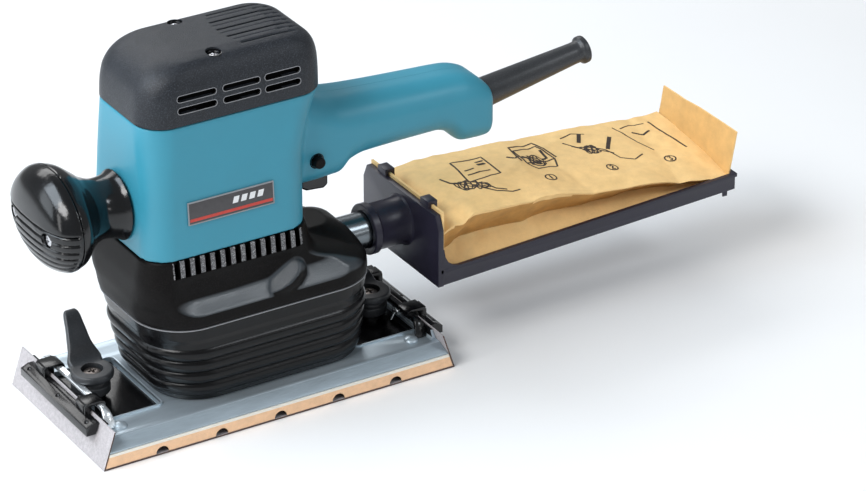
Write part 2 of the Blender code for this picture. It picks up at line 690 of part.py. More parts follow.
def build_clamp(word, end):
    """Tray, hinge pin, jaw, cam lever and its screw at one end (end is -1 in front)."""
    inner, outer = sorted((end * 64.4, end * (end_line(PLATE_TOP, INSIDE_SHEET) - 3.2)))
    tray = solid("tray_" + word, box((inner, -30.6, 11.9), (outer, 30.6, 13.2)), BLACK, 0.25)
    combine(tray, cylinder((end * LEVER_X, 0, 5), (end * LEVER_X, 0, 20), 7.0 + GAP, 24))
    pin = cylinder((end * HINGE_X, -38.5, HINGE_Z), (end * HINGE_X, 38.5, HINGE_Z), 1.5, 12)
    solid("hinge_pin_" + word, pin, STEEL, 0.25, 1.0)

    jaw_axis = pivot("jaw_axis_" + word, end * HINGE_X, 0, HINGE_Z)
    section = [(117.0, 14.0), (end_line(14.0, 0.5), 14.0), (end_line(21.0, 0.5), 21.0),
               (end_line(21.0, 0.5), 26.0), (117.0, 26.0)]
    bar = prism(mirrored(section, end), -JAW_HALF_WIDTH, JAW_HALF_WIDTH)
    jaw = solid("jaw_" + word, bar, BLACK, 0.3, 0.0, jaw_axis)
    low_x, high_x = sorted((end * 105.0, end * 125.0))
    relief = boxes([((low_x, y0, 21.0), (high_x, y1, 30)) for y0, y1 in ((-60, -30), (-20, 20), (30, 60))])
    combine(jaw, relief)
    low_x, high_x = sorted((end * 98.2, end * 116.0))
    arms = boxes([((low_x, side - 4.7, 23.4), (high_x, side + 4.7, 28.0)) for side in (-25, 25)])
    combine(jaw, arms, "UNION")
    eyes = bmesh.new()
    for side in (-25, 25):
        add_cylinder(eyes, (end * HINGE_X, side - 4.4, HINGE_Z), (end * HINGE_X, side + 4.4, HINGE_Z),
                     3.4, 20)
    combine(jaw, eyes, "UNION")
    combine(jaw, cylinder((end * HINGE_X, -45, HINGE_Z), (end * HINGE_X, 45, HINGE_Z), 1.5 + GAP, 12))

    screw = solid("lever_screw_" + word, cylinder((end * LEVER_X, 0, 12.6), (end * LEVER_X, 0, 29), 2.5, 16),
                  STEEL, 0.3, 1.0)
    combine(screw, cylinder((end * LEVER_X, 0, 28.0), (end * LEVER_X, 0, 29.8), 5.2, 16), "UNION")
    build_lever(word, end)


def build_lever(word, end):
    """Hub disc, snail cam below it and a blade that sweeps up from one side."""
    hinge = pivot("lever_axis_" + word, end * LEVER_X, 0, 26)
    centre = Vector((end * LEVER_X, 0, 0))
    disc = cylinder(centre + Vector((0, 0, 26.9)), centre + Vector((0, 0, 31.2)), 12.6, 28)
    lever = solid("lever_" + word, disc, DARK, 0.4, 0.0, hinge)
    neck = cylinder(centre + Vector((0, 0, 18.0)), centre + Vector((0, 0, 28.0)), 8.2, 24)
    combine(lever, neck, "UNION")
    cam = []
    for step in range(20):
        angle = math.radians(18 * step)
        reach = 9.0 + 3.6 * max(0.0, math.cos(angle - math.radians(30))) ** 2
        cam.append((end * reach * math.cos(angle), reach * math.sin(angle)))
    combine(lever, loft([[Vector((centre.x + x, y, z)) * MM for x, y in cam] for z in (17.8, 23.1)]), "UNION")
    sections = (              # y, low z, high z, half width, lean of the middle toward the end
        (6.0, 27.2, 30.8, 8.5, 0.0), (12.5, 28.6, 32.8, 9.0, 1.3), (18.0, 35.2, 39.6, 6.3, 0.8),
        (26.0, 43.5, 47.2, 4.8, 1.7), (33.5, 50.6, 53.0, 3.4, 2.4))
    rings = []
    for y, z0, z1, half, lean in sections:
        ring = round_rect(-half, half, z0, z1, 1.1, 2)
        tilt = 0.55
        rings.append([Vector((centre.x - end * lean + u, y - (v - z0) * tilt, v)) * MM for u, v in ring])
    combine(lever, loft(rings), "UNION")
    combine(lever, cylinder(centre + Vector((0, 0, 27.6)), centre + Vector((0, 0, 36)), 6.4, 20))
    combine(lever, cylinder(centre + Vector((0, 0, 10)), centre + Vector((0, 0, 30)), 2.5 + GAP, 16))


# ---------------------------------------------------------------- dust gear

def tray_lift(x):
    """Height that the tray gains on its way to the rear."""
    return TRAY_SLOPE * (x - HOLDER_X)


def build_nozzle():
    tube = cylinder((62, 0, NOZZLE_Z), (109, 0, NOZZLE_Z), NOZZLE_RADIUS, 32)
    pipe = solid("nozzle_pipe", tube, STEEL, 0.25, 1.0)
    combine(pipe, cylinder((50, 0, NOZZLE_Z), (120, 0, NOZZLE_Z), NOZZLE_RADIUS - 1.2, 32))


def build_bag_holder():
    slide = pivot("bag_holder_axis", 100, 0, NOZZLE_Z)
    half = TRAY_HALF_WIDTH
    face = [(TRAY_FLOOR, half), (82.0, half), (90.5, half - 4),
            (90.5, 4 - half), (82.0, -half), (TRAY_FLOOR, -half)]
    plate = loft([[Vector((x, y, z)) * MM for z, y in face] for x in (HOLDER_X - 3.5, HOLDER_X)])
    holder = solid("bag_holder", plate, NAVY, 0.45, 0.0, slide)
    combine(holder, cylinder((87.5, 0, NOZZLE_Z), (HOLDER_X - 1, 0, NOZZLE_Z), 14.0, 36), "UNION")
    combine(holder, cylinder((87.2, 0, NOZZLE_Z), (92.0, 0, NOZZLE_Z), 15.4, 36), "UNION")

    def tray_ring(x, inset, low, high):
        lift = tray_lift(x)
        half = TRAY_HALF_WIDTH - inset
        corners = ((-half, low), (half, low), (half, high), (-half, high))
        return [Vector((x, y, z + lift)) * MM for y, z in corners]

    outer = loft([tray_ring(x, 0.0, TRAY_FLOOR, TRAY_FLOOR + 10.5) for x in (HOLDER_X - 1.5, TRAY_END)])
    combine(holder, outer, "UNION")
    inner = [tray_ring(x, 2.0, TRAY_FLOOR + 2.0, TRAY_FLOOR + 20) for x in (HOLDER_X, TRAY_END - 2.0)]
    combine(holder, loft(inner))
    hooks = boxes([((HOLDER_X - 2, side - 4.5, 88), (HOLDER_X + 4.2, side + 4.5, 94.5))
                   for side in (-24, 24)])
    combine(holder, hooks, "UNION")
    card_slot = box((HOLDER_X, -60, 80), (HOLDER_X + 2.4, 60, 92.6))
    combine(holder, card_slot)
    combine(holder, cylinder((80, 0, NOZZLE_Z), (HOLDER_X + 5, 0, NOZZLE_Z), NOZZLE_RADIUS + GAP, 32))

    card = solid("bag_card", box((HOLDER_X + 0.4, -40.0, 48.2), (HOLDER_X + 1.8, 40.0, 92.2)),
                 (0.78, 0.50, 0.22), 0.8, 0.0, slide)
    combine(card, cylinder((100, 0, NOZZLE_Z), (130, 0, NOZZLE_Z), 9.8, 28))

    floor = TRAY_FLOOR + 2.0 + GAP
    rows = ((HOLDER_X + 2.2, 35.0, 74.0), (126.0, 38.5, 82.0), (142.0, 39.5, 84.5), (180.0, 39.5, 79.0),
            (230.0, 39.5, 73.5), (280.0, 39.5, 67.0), (312.0, 39.0, 60.0), (318.8, 38.5, 56.5))
    rings = [upright_ring(x, half, floor + tray_lift(x), high + 0.5 * tray_lift(x), 5.0)
             for x, half, high in rows]
    bag = solid("dust_bag", loft(rings), (0.80, 0.54, 0.26), 0.85, 0.0, slide)
    fold = [(314.5, 60.0), (319.0, 60.0), (324.0, 90.5), (320.5, 91.0), (315.5, 66.0)]
    combine(bag, prism(fold, -38.0, 38.0), "UNION")


def build_feet():
    profile = ((7.0, 65.4), (7.0, 58.0), (5.6, 54.0), (5.6, 27.0), (7.0, 23.0), (7.0, 15.8),
               (0.0, 15.8), (0.0, 65.4))
    for i, (x, y) in enumerate(((-41, -24), (-41, 24), (43, -24), (43, 24)), start=1):
        turned(f"rubber_foot_{i}", profile, BLACK, 0.7, 0.0, (x, y), 16)


def hang_base_on_axis():
    """Everything that orbits hangs on the eccentric axis."""
    axis = pivot("pad_orbit_axis", ECCENTRIC_X, 0, 28)
    words = ("base_plate", "pad", "abrasive_sheet", "pad_bearing", "tray_", "hinge_pin_", "lever_screw_",
             "jaw_axis_", "lever_axis_")
    for item in list(SANDER.objects):
        if item.parent is None and item.name.startswith(words) and item is not axis:
            item.parent = axis
            item.matrix_parent_inverse = axis.matrix_world.inverted()


def build():
    build_motor_housing()
    build_handle_cover()
    build_top_cover()
    build_lower_housing()
    build_skirt()
    build_front_knob()
    build_nameplate()
    build_cord_guard()
    build_drive()
    build_motor_internals()
    build_brushes()
    build_handle_internals()
    build_base_plate()
    build_pad_and_sheet()
    build_clamp("front", -1)
    build_clamp("rear", 1)
    build_nozzle()
    build_bag_holder()
    build_feet()
    bpy.context.view_layer.update()
    hang_base_on_axis()


build()
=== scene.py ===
"""Looks, light and camera for the half-sheet orbital sander."""
import json
import math

import bmesh
import bpy
import numpy as np
from mathutils import Matrix, Vector, noise


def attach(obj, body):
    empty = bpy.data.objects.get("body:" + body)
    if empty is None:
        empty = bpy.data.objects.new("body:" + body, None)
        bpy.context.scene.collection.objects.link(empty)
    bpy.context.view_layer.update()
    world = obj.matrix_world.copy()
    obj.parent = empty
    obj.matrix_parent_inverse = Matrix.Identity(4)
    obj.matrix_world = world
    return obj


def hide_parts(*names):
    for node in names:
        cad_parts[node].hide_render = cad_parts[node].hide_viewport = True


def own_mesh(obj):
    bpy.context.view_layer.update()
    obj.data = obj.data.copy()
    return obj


MM = 0.001
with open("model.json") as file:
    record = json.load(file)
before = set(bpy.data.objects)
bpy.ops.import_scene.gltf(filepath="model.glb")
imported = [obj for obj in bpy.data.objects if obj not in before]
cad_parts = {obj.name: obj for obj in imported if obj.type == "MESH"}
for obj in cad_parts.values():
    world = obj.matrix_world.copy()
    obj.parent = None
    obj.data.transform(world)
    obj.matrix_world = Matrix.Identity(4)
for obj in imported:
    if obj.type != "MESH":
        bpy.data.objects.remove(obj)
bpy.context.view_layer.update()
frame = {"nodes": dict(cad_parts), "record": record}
NODES = frame["nodes"]


# ---------------------------------------------------------------- materials

def node(tree, kind, **values):
    """A shader node with some inputs or settings filled in."""
    made = tree.nodes.new(kind)
    for key, value in values.items():
        if key in made.inputs:
            made.inputs[key].default_value = value
        else:
            setattr(made, key, value)
    return made


def ramp(tree, source, stops):
    """A colour ramp over a 0..1 value."""
    made = tree.nodes.new("ShaderNodeValToRGB")
    for element, (at, colour) in zip(made.color_ramp.elements, stops):
        element.position = at
        element.color = (*colour, 1.0)
    tree.links.new(source, made.inputs["Fac"])
    return made.outputs["Color"]


def mapped(tree, source, start=(0.0, 1.0), end=(0.0, 1.0)):
    """Map a value from one range to another, held at both ends."""
    made = tree.nodes.new("ShaderNodeMapRange")
    for name, value in zip(("From Min", "From Max", "To Min", "To Max"), (*start, *end)):
        made.inputs[name].default_value = value
    tree.links.new(source, made.inputs["Value"])
    return made.outputs["Result"]


def tinted(tree, mask, first, colour):
    """Mix a colour over another by a mask."""
    made = node(tree, "ShaderNodeMix", data_type="RGBA")
    tree.links.new(mask, made.inputs[0])
    tree.links.new(first, made.inputs[6])
    made.inputs[7].default_value = (*colour, 1.0)
    return made.outputs[2]


def shade(colour, share):
    return tuple(min(1.0, c * share) for c in colour)


def finish(name, colour, rough=0.4, metal=0.0, mottle=0.08, mottle_size=9.0, grain=0.0, grain_size=0.5,
           rough_spread=0.08, spark=None, stretch=(1, 1, 1), shine=0.5, spark_from=0.55):
    """A procedural finish. Sizes are in millimetres: mottle tints broad patches, grain is the fine
    moulded or brushed relief, and spark is the colour of its brightest grains."""
    paint = bpy.data.materials.new(name)
    paint.use_nodes = True
    tree = paint.node_tree
    shader = tree.nodes["Principled BSDF"]
    shader.inputs["Metallic"].default_value = metal
    shader.inputs["Specular IOR Level"].default_value = shine
    place = tree.nodes.new("ShaderNodeTexCoord")
    scale = node(tree, "ShaderNodeMapping", Scale=stretch)
    tree.links.new(place.outputs["Object"], scale.inputs["Vector"])

    broad = node(tree, "ShaderNodeTexNoise", Scale=1000 / mottle_size, Detail=5.0, Roughness=0.6)
    fine = node(tree, "ShaderNodeTexNoise", Scale=1000 / grain_size, Detail=3.0, Roughness=0.55)
    for noise_node in (broad, fine):
        tree.links.new(scale.outputs["Vector"], noise_node.inputs["Vector"])
    tint = ramp(tree, broad.outputs["Fac"],
                ((0.3, shade(colour, 1 - mottle)), (0.7, shade(colour, 1 + mottle))))
    if spark:
        mask = ramp(tree, fine.outputs["Fac"], ((spark_from, (0, 0, 0)), (spark_from + 0.17, (1, 1, 1))))
        tint = tinted(tree, mask, tint, spark)
    tree.links.new(tint, shader.inputs["Base Color"])
    spread = (max(0.02, rough - rough_spread), min(1.0, rough + rough_spread))
    tree.links.new(mapped(tree, broad.outputs["Fac"], end=spread), shader.inputs["Roughness"])
    if grain:
        bump = node(tree, "ShaderNodeBump", Strength=min(1.0, grain), Distance=grain_size * MM * 0.5)
        tree.links.new(fine.outputs["Fac"], bump.inputs["Height"])
        tree.links.new(bump.outputs["Normal"], shader.inputs["Normal"])
    return paint


BLUE = finish("blue_plastic", (0.036, 0.262, 0.365), 0.42, mottle=0.03, mottle_size=30, grain=0.10,
              grain_size=0.7)
COVER = finish("dark_grey_plastic", (0.013, 0.0155, 0.020), 0.43, mottle=0.12, grain=0.7, grain_size=0.6,
               spark=(0.040, 0.045, 0.056), spark_from=0.50, shine=0.34)
CASING_COLOUR, CASING_SPARK, CASING_SHINE = (0.0036, 0.0031, 0.0030), (0.010, 0.0085, 0.0085), 0.10
CASING = finish("black_plastic", CASING_COLOUR, 0.40, mottle=0.3, grain=0.55, grain_size=0.6,
                spark=CASING_SPARK, spark_from=0.5, shine=CASING_SHINE)
GLOSS = finish("gloss_black_plastic", (0.0030, 0.0033, 0.0040), 0.16, mottle=0.2, grain=0.05,
               grain_size=1.4, rough_spread=0.04)
RUBBER = finish("black_rubber", (0.0035, 0.0035, 0.0040), 0.24, mottle=0.3, mottle_size=14, grain=0.10,
                grain_size=0.9, shine=0.25)
LEVER = finish("lever_grey", (0.026, 0.028, 0.031), 0.38, mottle=0.15, grain=0.3, grain_size=0.6,
               spark=(0.06, 0.062, 0.068), shine=0.5)
TRAY = finish("black_painted_steel", (0.0035, 0.0035, 0.0040), 0.20, mottle=0.3, grain=0.08,
              grain_size=1.5)
PLATE = finish("base_aluminium", (0.57, 0.66, 0.725), 0.40, metal=0.75, mottle=0.10, mottle_size=16,
               grain=0.10, grain_size=0.7, rough_spread=0.07, stretch=(0.25, 1, 1))
# Painted shade: a darker copy of the plate finish for the sloping sides.
SLOPE_SHADE = finish("brushed_slope_painted_shade", (0.38, 0.45, 0.50), 0.46, metal=0.7, mottle=0.10, mottle_size=5,
               grain=0.3, grain_size=0.7, stretch=(0.2, 1, 1))
BRIGHT = finish("bright_edge", (0.86, 0.90, 0.93), 0.25, metal=0.85, mottle=0.04, grain=0.03)
ZINC = finish("zinc_steel", (0.52, 0.52, 0.54), 0.27, metal=1.0, mottle=0.10, mottle_size=3, grain=0.08)
DULL = finish("dark_screw", (0.17, 0.15, 0.14), 0.32, metal=1.0, mottle=0.2, mottle_size=2, grain=0.2)
PIPE = finish("nozzle_steel", (0.17, 0.19, 0.205), 0.25, metal=1.0, mottle=0.18, mottle_size=12,
              grain=0.05, stretch=(0.3, 1, 1), rough_spread=0.06)
CORE = finish("core_steel", (0.35, 0.35, 0.37), 0.35, metal=1.0, mottle=0.1, grain=0.2, grain_size=0.6,
              stretch=(1, 1, 4))
COPPER = finish("copper", (0.75, 0.30, 0.14), 0.3, metal=1.0, mottle=0.15, grain=0.5, grain_size=0.8,
                stretch=(0.3, 0.3, 2))
BRASS = finish("brass", (0.72, 0.50, 0.20), 0.28, metal=1.0, mottle=0.1, grain=0.1)
CARBON = finish("carbon", (0.03, 0.03, 0.032), 0.5, mottle=0.2, grain=0.4)
NYLON = finish("fan_nylon", (0.62, 0.60, 0.55), 0.5, mottle=0.06, grain=0.1)
BADGE = finish("plate_grey", (0.055, 0.052, 0.055), 0.38, mottle=0.12, mottle_size=2.5, grain=0.1)
STRIPE = finish("red_stripe", (0.52, 0.045, 0.030), 0.4, mottle=0.1, mottle_size=3, grain=0.05)
WHITE = finish("white_print", (0.78, 0.79, 0.80), 0.45, mottle=0.05, mottle_size=2, grain=0.05)
# Painted highlight: pale grey for the lit vent slot edges, the parting line and the nameplate rim.
EDGE_HIGHLIGHT = finish("edge_painted_highlight", (0.26, 0.265, 0.28), 0.30, mottle=0.1, mottle_size=3, grain=0.1)
# Painted highlight: the black wall bars between the vent slots drawn lit grey with bright grains.
SLOT_BAR_HIGHLIGHT = finish("slot_bar_painted_highlight", (0.075, 0.075, 0.08), 0.40, mottle=0.5, mottle_size=3, grain=0.5,
             grain_size=0.7, spark=(0.42, 0.42, 0.43), spark_from=0.50)
NAVY = finish("navy_plastic", (0.0180, 0.0165, 0.0300), 0.34, mottle=0.15, mottle_size=20, grain=0.10,
              grain_size=0.9, shine=0.4)
INK = finish("print_ink", (0.045, 0.030, 0.022), 0.7, mottle=0.3, mottle_size=3, grain=0.1)
PAPER_BACK = finish("paper_back", (0.44, 0.415, 0.425), 0.8, mottle=0.16, mottle_size=2.2, grain=0.5,
                    grain_size=0.5, spark=(0.27, 0.25, 0.25))
GRIT = finish("abrasive", (0.075, 0.040, 0.030), 0.85, mottle=0.3, mottle_size=3, grain=1.0,
              grain_size=0.45, spark=(0.22, 0.14, 0.11))
KRAFT = finish("kraft_paper", (0.92, 0.62, 0.27), 0.72, mottle=0.07, mottle_size=7, grain=0.22,
               grain_size=1.1, rough_spread=0.1)
# Painted shade: darker kraft for the down-facing halves of the gussets and for the upright tail panel.
FOLD_SHADE = finish("kraft_fold_painted_shade", (0.55, 0.28, 0.075), 0.75, mottle=0.16, grain=0.25, grain_size=1.1)
TAIL_SHADE = finish("kraft_tail_painted_shade", (0.66, 0.40, 0.145), 0.75, mottle=0.10, grain=0.25, grain_size=1.1)
# Painted shade: near black for the inner walls of the vent slots and the sheet behind them.
VENT_SHADE = finish("vent_painted_shade", (0.002, 0.002, 0.002), 0.7, mottle=0.3, grain=0.2, shine=0.1)
SHADE = finish("groove_shadow", (0.035, 0.018, 0.010), 0.9, mottle=0.2, mottle_size=3, grain=0.3)


def placed(tree):
    """Where a point is on the piece and which way it faces, each split into x, y and z."""
    place = tree.nodes.new("ShaderNodeTexCoord")
    found = []
    for name in ("Object", "Normal"):
        split = tree.nodes.new("ShaderNodeSeparateXYZ")
        tree.links.new(place.outputs[name], split.inputs["Vector"])
        found.append(split.outputs)
    return found


def recoloured(paint, mask, colour):
    """Lay a colour over the paint where the mask is 1."""
    tree = paint.node_tree
    base = tree.nodes["Principled BSDF"].inputs["Base Color"]
    tree.links.new(tinted(tree, mask, base.links[0].from_socket, colour), base)


def foam():
    """Peach foam that turns pale along its top edge."""
    paint = finish("pad_foam", (0.92, 0.60, 0.37), 0.85, mottle=0.07, mottle_size=4, grain=0.7,
                   grain_size=0.6)
    spot, _ = placed(paint.node_tree)
    recoloured(paint, mapped(paint.node_tree, spot["Z"], (0.0073, 0.0076)), (0.88, 0.84, 0.76))
    return paint


def ledge_painted_sheen():
    """Black casing that turns smoother and shinier on the ledge and on the flat of the bulge, with a painted
    bluish reflection there.
    """
    paint = finish("black_plastic_ledge_painted_sheen", CASING_COLOUR, mottle=0.3, grain=0.4, grain_size=0.6,
                   spark=CASING_SPARK, spark_from=0.5, shine=CASING_SHINE)
    tree = paint.node_tree
    shader = tree.nodes["Principled BSDF"]
    spot, facing = placed(tree)
    width = node(tree, "ShaderNodeMath", operation="ABSOLUTE")
    tree.links.new(spot["Y"], width.inputs[0])
    mask = mapped(tree, facing["Z"], (0.18, 0.42))
    for source, limits in ((spot["Z"], (0.0712, 0.0735)), (spot["Z"], (0.0925, 0.0885)),
                           (spot["X"], (-0.061, -0.050)), (spot["X"], (0.069, 0.057)),
                           (width.outputs[0], (0.0385, 0.0405))):
        both = node(tree, "ShaderNodeMath", operation="MULTIPLY")
        tree.links.new(mask, both.inputs[0])
        tree.links.new(mapped(tree, source, limits), both.inputs[1])
        mask = both.outputs[0]
    # Painted reflection: the up-facing ledge and bulge faces are tinted bluish grey.
    recoloured(paint, mask, (0.022, 0.030, 0.038))
    for name, levels in (("Specular IOR Level", (CASING_SHINE, 0.9)), ("Roughness", (0.42, 0.28))):
        tree.links.new(mapped(tree, mask, end=levels), shader.inputs[name])
    return paint


LEDGE_PAINTED_SHEEN = ledge_painted_sheen()
FOAM = foam()


# ---------------------------------------------------------------- shapes (millimetres)

def pchip(xs, ys, at):
    """Smooth curve through the points that never overshoots them."""
    xs, ys = np.asarray(xs, float), np.asarray(ys, float)
    h = np.diff(xs)
    d = np.diff(ys) / h
    m = np.zeros(len(xs))
    m[0], m[-1] = d[0], d[-1]
    for i in range(1, len(xs) - 1):
        if d[i - 1] * d[i] > 0:
            w0, w1 = 2 * h[i] + h[i - 1], h[i] + 2 * h[i - 1]
            m[i] = (w0 + w1) / (w0 / d[i - 1] + w1 / d[i])
    i = np.clip(np.searchsorted(xs, at, side="right") - 1, 0, len(h) - 1)
    t = (at - xs[i]) / h[i]
    return ((2 * t**3 - 3 * t**2 + 1) * ys[i] + (t**3 - 2 * t**2 + t) * h[i] * m[i]
            + (3 * t**2 - 2 * t**3) * ys[i + 1] + (t**3 - t**2) * h[i] * m[i + 1])


def smooth_rows(rows, step):
    """Fill a table of sections with smooth in-between ones every step or so of its length."""
    table = np.array(rows, float)
    travel = np.concatenate([[0], np.cumsum(np.linalg.norm(np.diff(table[:, :4], axis=0), axis=1))])
    at = np.linspace(0, travel[-1], max(2, int(round(travel[-1] / step)) + 1))
    at = np.unique(np.round(np.concatenate([at, travel]), 4))
    at = at[np.concatenate([[True], np.diff(at) > 0.05])]
    return np.stack([pchip(travel, table[:, k], at) for k in range(table.shape[1])], axis=1)


def round_rect(u0, u1, v0, v1, radius, steps=12, side=6):
    """Outline of a round-cornered rectangle, anticlockwise, with points along its sides too."""
    r = min(radius, 0.499 * (u1 - u0), 0.499 * (v1 - v0))
    corners = ((u1 - r, v1 - r, 0), (u0 + r, v1 - r, 90), (u0 + r, v0 + r, 180), (u1 - r, v0 + r, 270))
    ring = []
    for k, (cu, cv, start) in enumerate(corners):
        for s in range(steps + 1):
            a = math.radians(start + 90 * s / steps)
            ring.append((cu + r * math.cos(a), cv + r * math.sin(a)))
        nu, nv, begin = corners[(k + 1) % 4]
        a = math.radians(begin)
        end = (nu + r * math.cos(a), nv + r * math.sin(a))
        start_point = ring[-1]
        for s in range(1, side):
            t = s / side
            ring.append((start_point[0] * (1 - t) + end[0] * t, start_point[1] * (1 - t) + end[1] * t))
    return ring


def flat_ring(z, x0, x1, half_y, radius, inset=0.0, steps=12):
    return [(u, v, z) for u, v in round_rect(x0 + inset, x1 - inset, -half_y + inset, half_y - inset,
                                             max(radius - inset, 1), steps)]


def upright_ring(x, half_y, z0, z1, radius, inset=0.0, steps=12):
    return [(x, u, v) for u, v in round_rect(-half_y + inset, half_y - inset, z0 + inset, z1 - inset,
                                             max(min(radius, 0.45 * (z1 - z0)) - inset, 1), steps)]


def oval_ring(x, half_y, half_z, centre_z, sides=72):
    turns = [2 * math.pi * k / sides for k in range(sides)]
    return [(x, half_y * math.cos(turn), centre_z + half_z * math.sin(turn)) for turn in turns]


def loft(rings, capped=True, bm=None):
    bm = bm or bmesh.new()
    loops = [[bm.verts.new(Vector(p) * MM) for p in ring] for ring in rings]
    count = len(loops[0])
    faces = []
    for lower, upper in zip(loops, loops[1:]):
        for i in range(count):
            j = (i + 1) % count
            faces.append(bm.faces.new((lower[i], lower[j], upper[j], upper[i])))
    if capped:
        faces += [bm.faces.new(reversed(loops[0])), bm.faces.new(loops[-1])]
    bmesh.ops.recalc_face_normals(bm, faces=faces)
    return bm


def prism(outline, ends, axis, bm=None):
    """A flat outline stretched between stations along one axis."""
    k = "xyz".index(axis)
    return loft([[(*point[:k], at, *point[k:]) for point in outline] for at in ends], bm=bm)


def add_box(bm, low, high):
    centre = (Vector(low) + Vector(high)) * 0.5 * MM
    size = (Vector(high) - Vector(low)) * MM
    bmesh.ops.create_cube(bm, size=1.0, matrix=Matrix.Translation(centre) @ Matrix.Diagonal((*size, 1.0)))
    return bm


def boxes(*pairs):
    bm = bmesh.new()
    for low, high in pairs:
        add_box(bm, low, high)
    return bm


def cylinder(start, end, radius, sides=48, end_radius=None, bm=None):
    bm = bm or bmesh.new()
    start, end = Vector(start), Vector(end)
    run = end - start
    place = Matrix.Translation((start + end) * 0.5 * MM) @ run.to_track_quat("Z", "Y").to_matrix().to_4x4()
    bmesh.ops.create_cone(bm, cap_ends=True, segments=sides, radius1=radius * MM,
                          radius2=(radius if end_radius is None else end_radius) * MM,
                          depth=run.length * MM, matrix=place)
    return bm


def ellipsoid(centre, radii, turn_y=0.0):
    bm = bmesh.new()
    place = (Matrix.Translation(Vector(centre) * MM) @ Matrix.Rotation(math.radians(turn_y), 4, "Y")
             @ Matrix.Diagonal((*(Vector(radii) * MM), 1.0)))
    bmesh.ops.create_uvsphere(bm, u_segments=40, v_segments=24, radius=1.0, matrix=place)
    return bm


def turned(start, direction, profile, sides=64, closed=True):
    """Turn (radius, distance along) points about a line."""
    along = Vector(direction).normalized()
    side = along.orthogonal().normalized()
    other = along.cross(side)
    rings = []
    for r, t in profile:
        centre = Vector(start) + along * t
        rings.append([centre + side * r * math.cos(2 * math.pi * k / sides)
                      + other * r * math.sin(2 * math.pi * k / sides) for k in range(sides)])
    if closed:
        bm = sealed(tube(rings))
        bmesh.ops.recalc_face_normals(bm, faces=bm.faces)
        return bm
    return loft(rings)


def sealed(bm):
    """Join the points where a closed run of rings meets itself."""
    bmesh.ops.remove_doubles(bm, verts=bm.verts, dist=1e-7)
    return bm


def tube(loops, bm=None):
    """A ring-shaped solid from loops that come back to the first one."""
    return loft([*loops, loops[0]], capped=False, bm=bm)


def to_mesh(bm, name="part"):
    mesh = bpy.data.meshes.new(name)
    bm.to_mesh(mesh)
    bm.free()
    return mesh


def to_bmesh(mesh):
    bm = bmesh.new()
    bm.from_mesh(mesh)
    return bm


def raw(bm, name="part"):
    """An object in the scene, not yet finished."""
    bmesh.ops.recalc_face_normals(bm, faces=bm.faces)
    thing = bpy.data.objects.new(name, to_mesh(bm, name))
    bpy.context.scene.collection.objects.link(thing)
    return thing


def applied(thing):
    """Replace the mesh with its evaluated one and drop the modifiers."""
    view = bpy.context.evaluated_depsgraph_get()
    mesh = bpy.data.meshes.new_from_object(thing.evaluated_get(view), depsgraph=view)
    thing.modifiers.clear()
    thing.data = mesh
    return thing


def merge(thing, *others, operation="DIFFERENCE"):
    """Boolean a run of bmeshes or objects into thing, one after another."""
    for other in others:
        tool = other if isinstance(other, bpy.types.Object) else raw(other, "tool")
        step = thing.modifiers.new("step", "BOOLEAN")
        step.operation, step.solver, step.object = operation, "EXACT", tool
        applied(thing)
        bpy.data.objects.remove(tool, do_unlink=True)
    return thing


def union(thing, *others):
    return merge(thing, *others, operation="UNION")


def remeshed(thing, voxel, passes):
    step = thing.modifiers.new("skin", "REMESH")
    step.mode, step.voxel_size, step.adaptivity = "VOXEL", voxel * MM, 0.0
    return eased(thing, passes)


def eased(thing, passes):
    ease = thing.modifiers.new("ease", "SMOOTH")
    ease.factor, ease.iterations = 0.5, passes
    return applied(thing)


def coordinates(thing):
    co = np.zeros(len(thing.data.vertices) * 3)
    thing.data.vertices.foreach_get("co", co)
    return co.reshape(-1, 3) / MM


def set_coordinates(thing, co):
    thing.data.vertices.foreach_set("co", (co * MM).astype(np.float32).ravel())
    thing.data.update()


def normals(thing):
    out = np.zeros(len(thing.data.vertices) * 3)
    thing.data.vertex_normals.foreach_get("vector", out)
    return out.reshape(-1, 3)


def fillet(thing, weight, rounds):
    """Soften hollow corners only: points move out of a crease, never off a ridge."""
    edges = np.zeros(len(thing.data.edges) * 2, np.int64)
    thing.data.edges.foreach_get("vertices", edges)
    a, b = edges.reshape(-1, 2).T
    count = len(thing.data.vertices)
    degree = np.bincount(a, minlength=count) + np.bincount(b, minlength=count)
    for cycle in range(rounds):
        co = coordinates(thing)
        if cycle % 5 == 0:
            normal = normals(thing)
            share = weight(co)
        total = np.stack([np.bincount(a, co[b, k], count) + np.bincount(b, co[a, k], count)
                          for k in range(3)], 1)
        move = total / np.maximum(degree, 1)[:, None] - co
        out = np.einsum("ij,ij->i", move, normal)
        set_coordinates(thing, co + move * (0.5 * share * (out > 0))[:, None])
    return thing


def clamped(value):
    return min(1.0, max(0.0, value))


def band(value, low, high, soft):
    """1 between low and high, fading to 0 over soft on each side."""
    rise = np.clip((value - low) / soft + 1, 0, 1)
    fall = np.clip((high - value) / soft + 1, 0, 1)
    return np.minimum(rise, fall)


def bevelled(thing, width, segments, angle):
    edge = thing.modifiers.new("edges", "BEVEL")
    edge.width, edge.segments, edge.limit_method = width * MM, segments, "ANGLE"
    edge.angle_limit = math.radians(angle)
    return thing


def piece(thing, name, paint, body, stands_for=(), angle=35.0, bevel=0.0):
    """Name, paint and hang a finished mesh on its CAD body."""
    if isinstance(thing, bmesh.types.BMesh):
        thing = raw(thing, name)
    thing.name = name
    thing.data.name = name
    thing.data.materials.clear()
    thing.data.materials.append(paint)
    if bevel:
        applied(bevelled(thing, bevel, 3, 40))
    thing.data.shade_smooth()
    thing.data.set_sharp_from_angle(angle=math.radians(angle))
    if stands_for:
        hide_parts(*stands_for)
    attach(thing, body)
    return thing


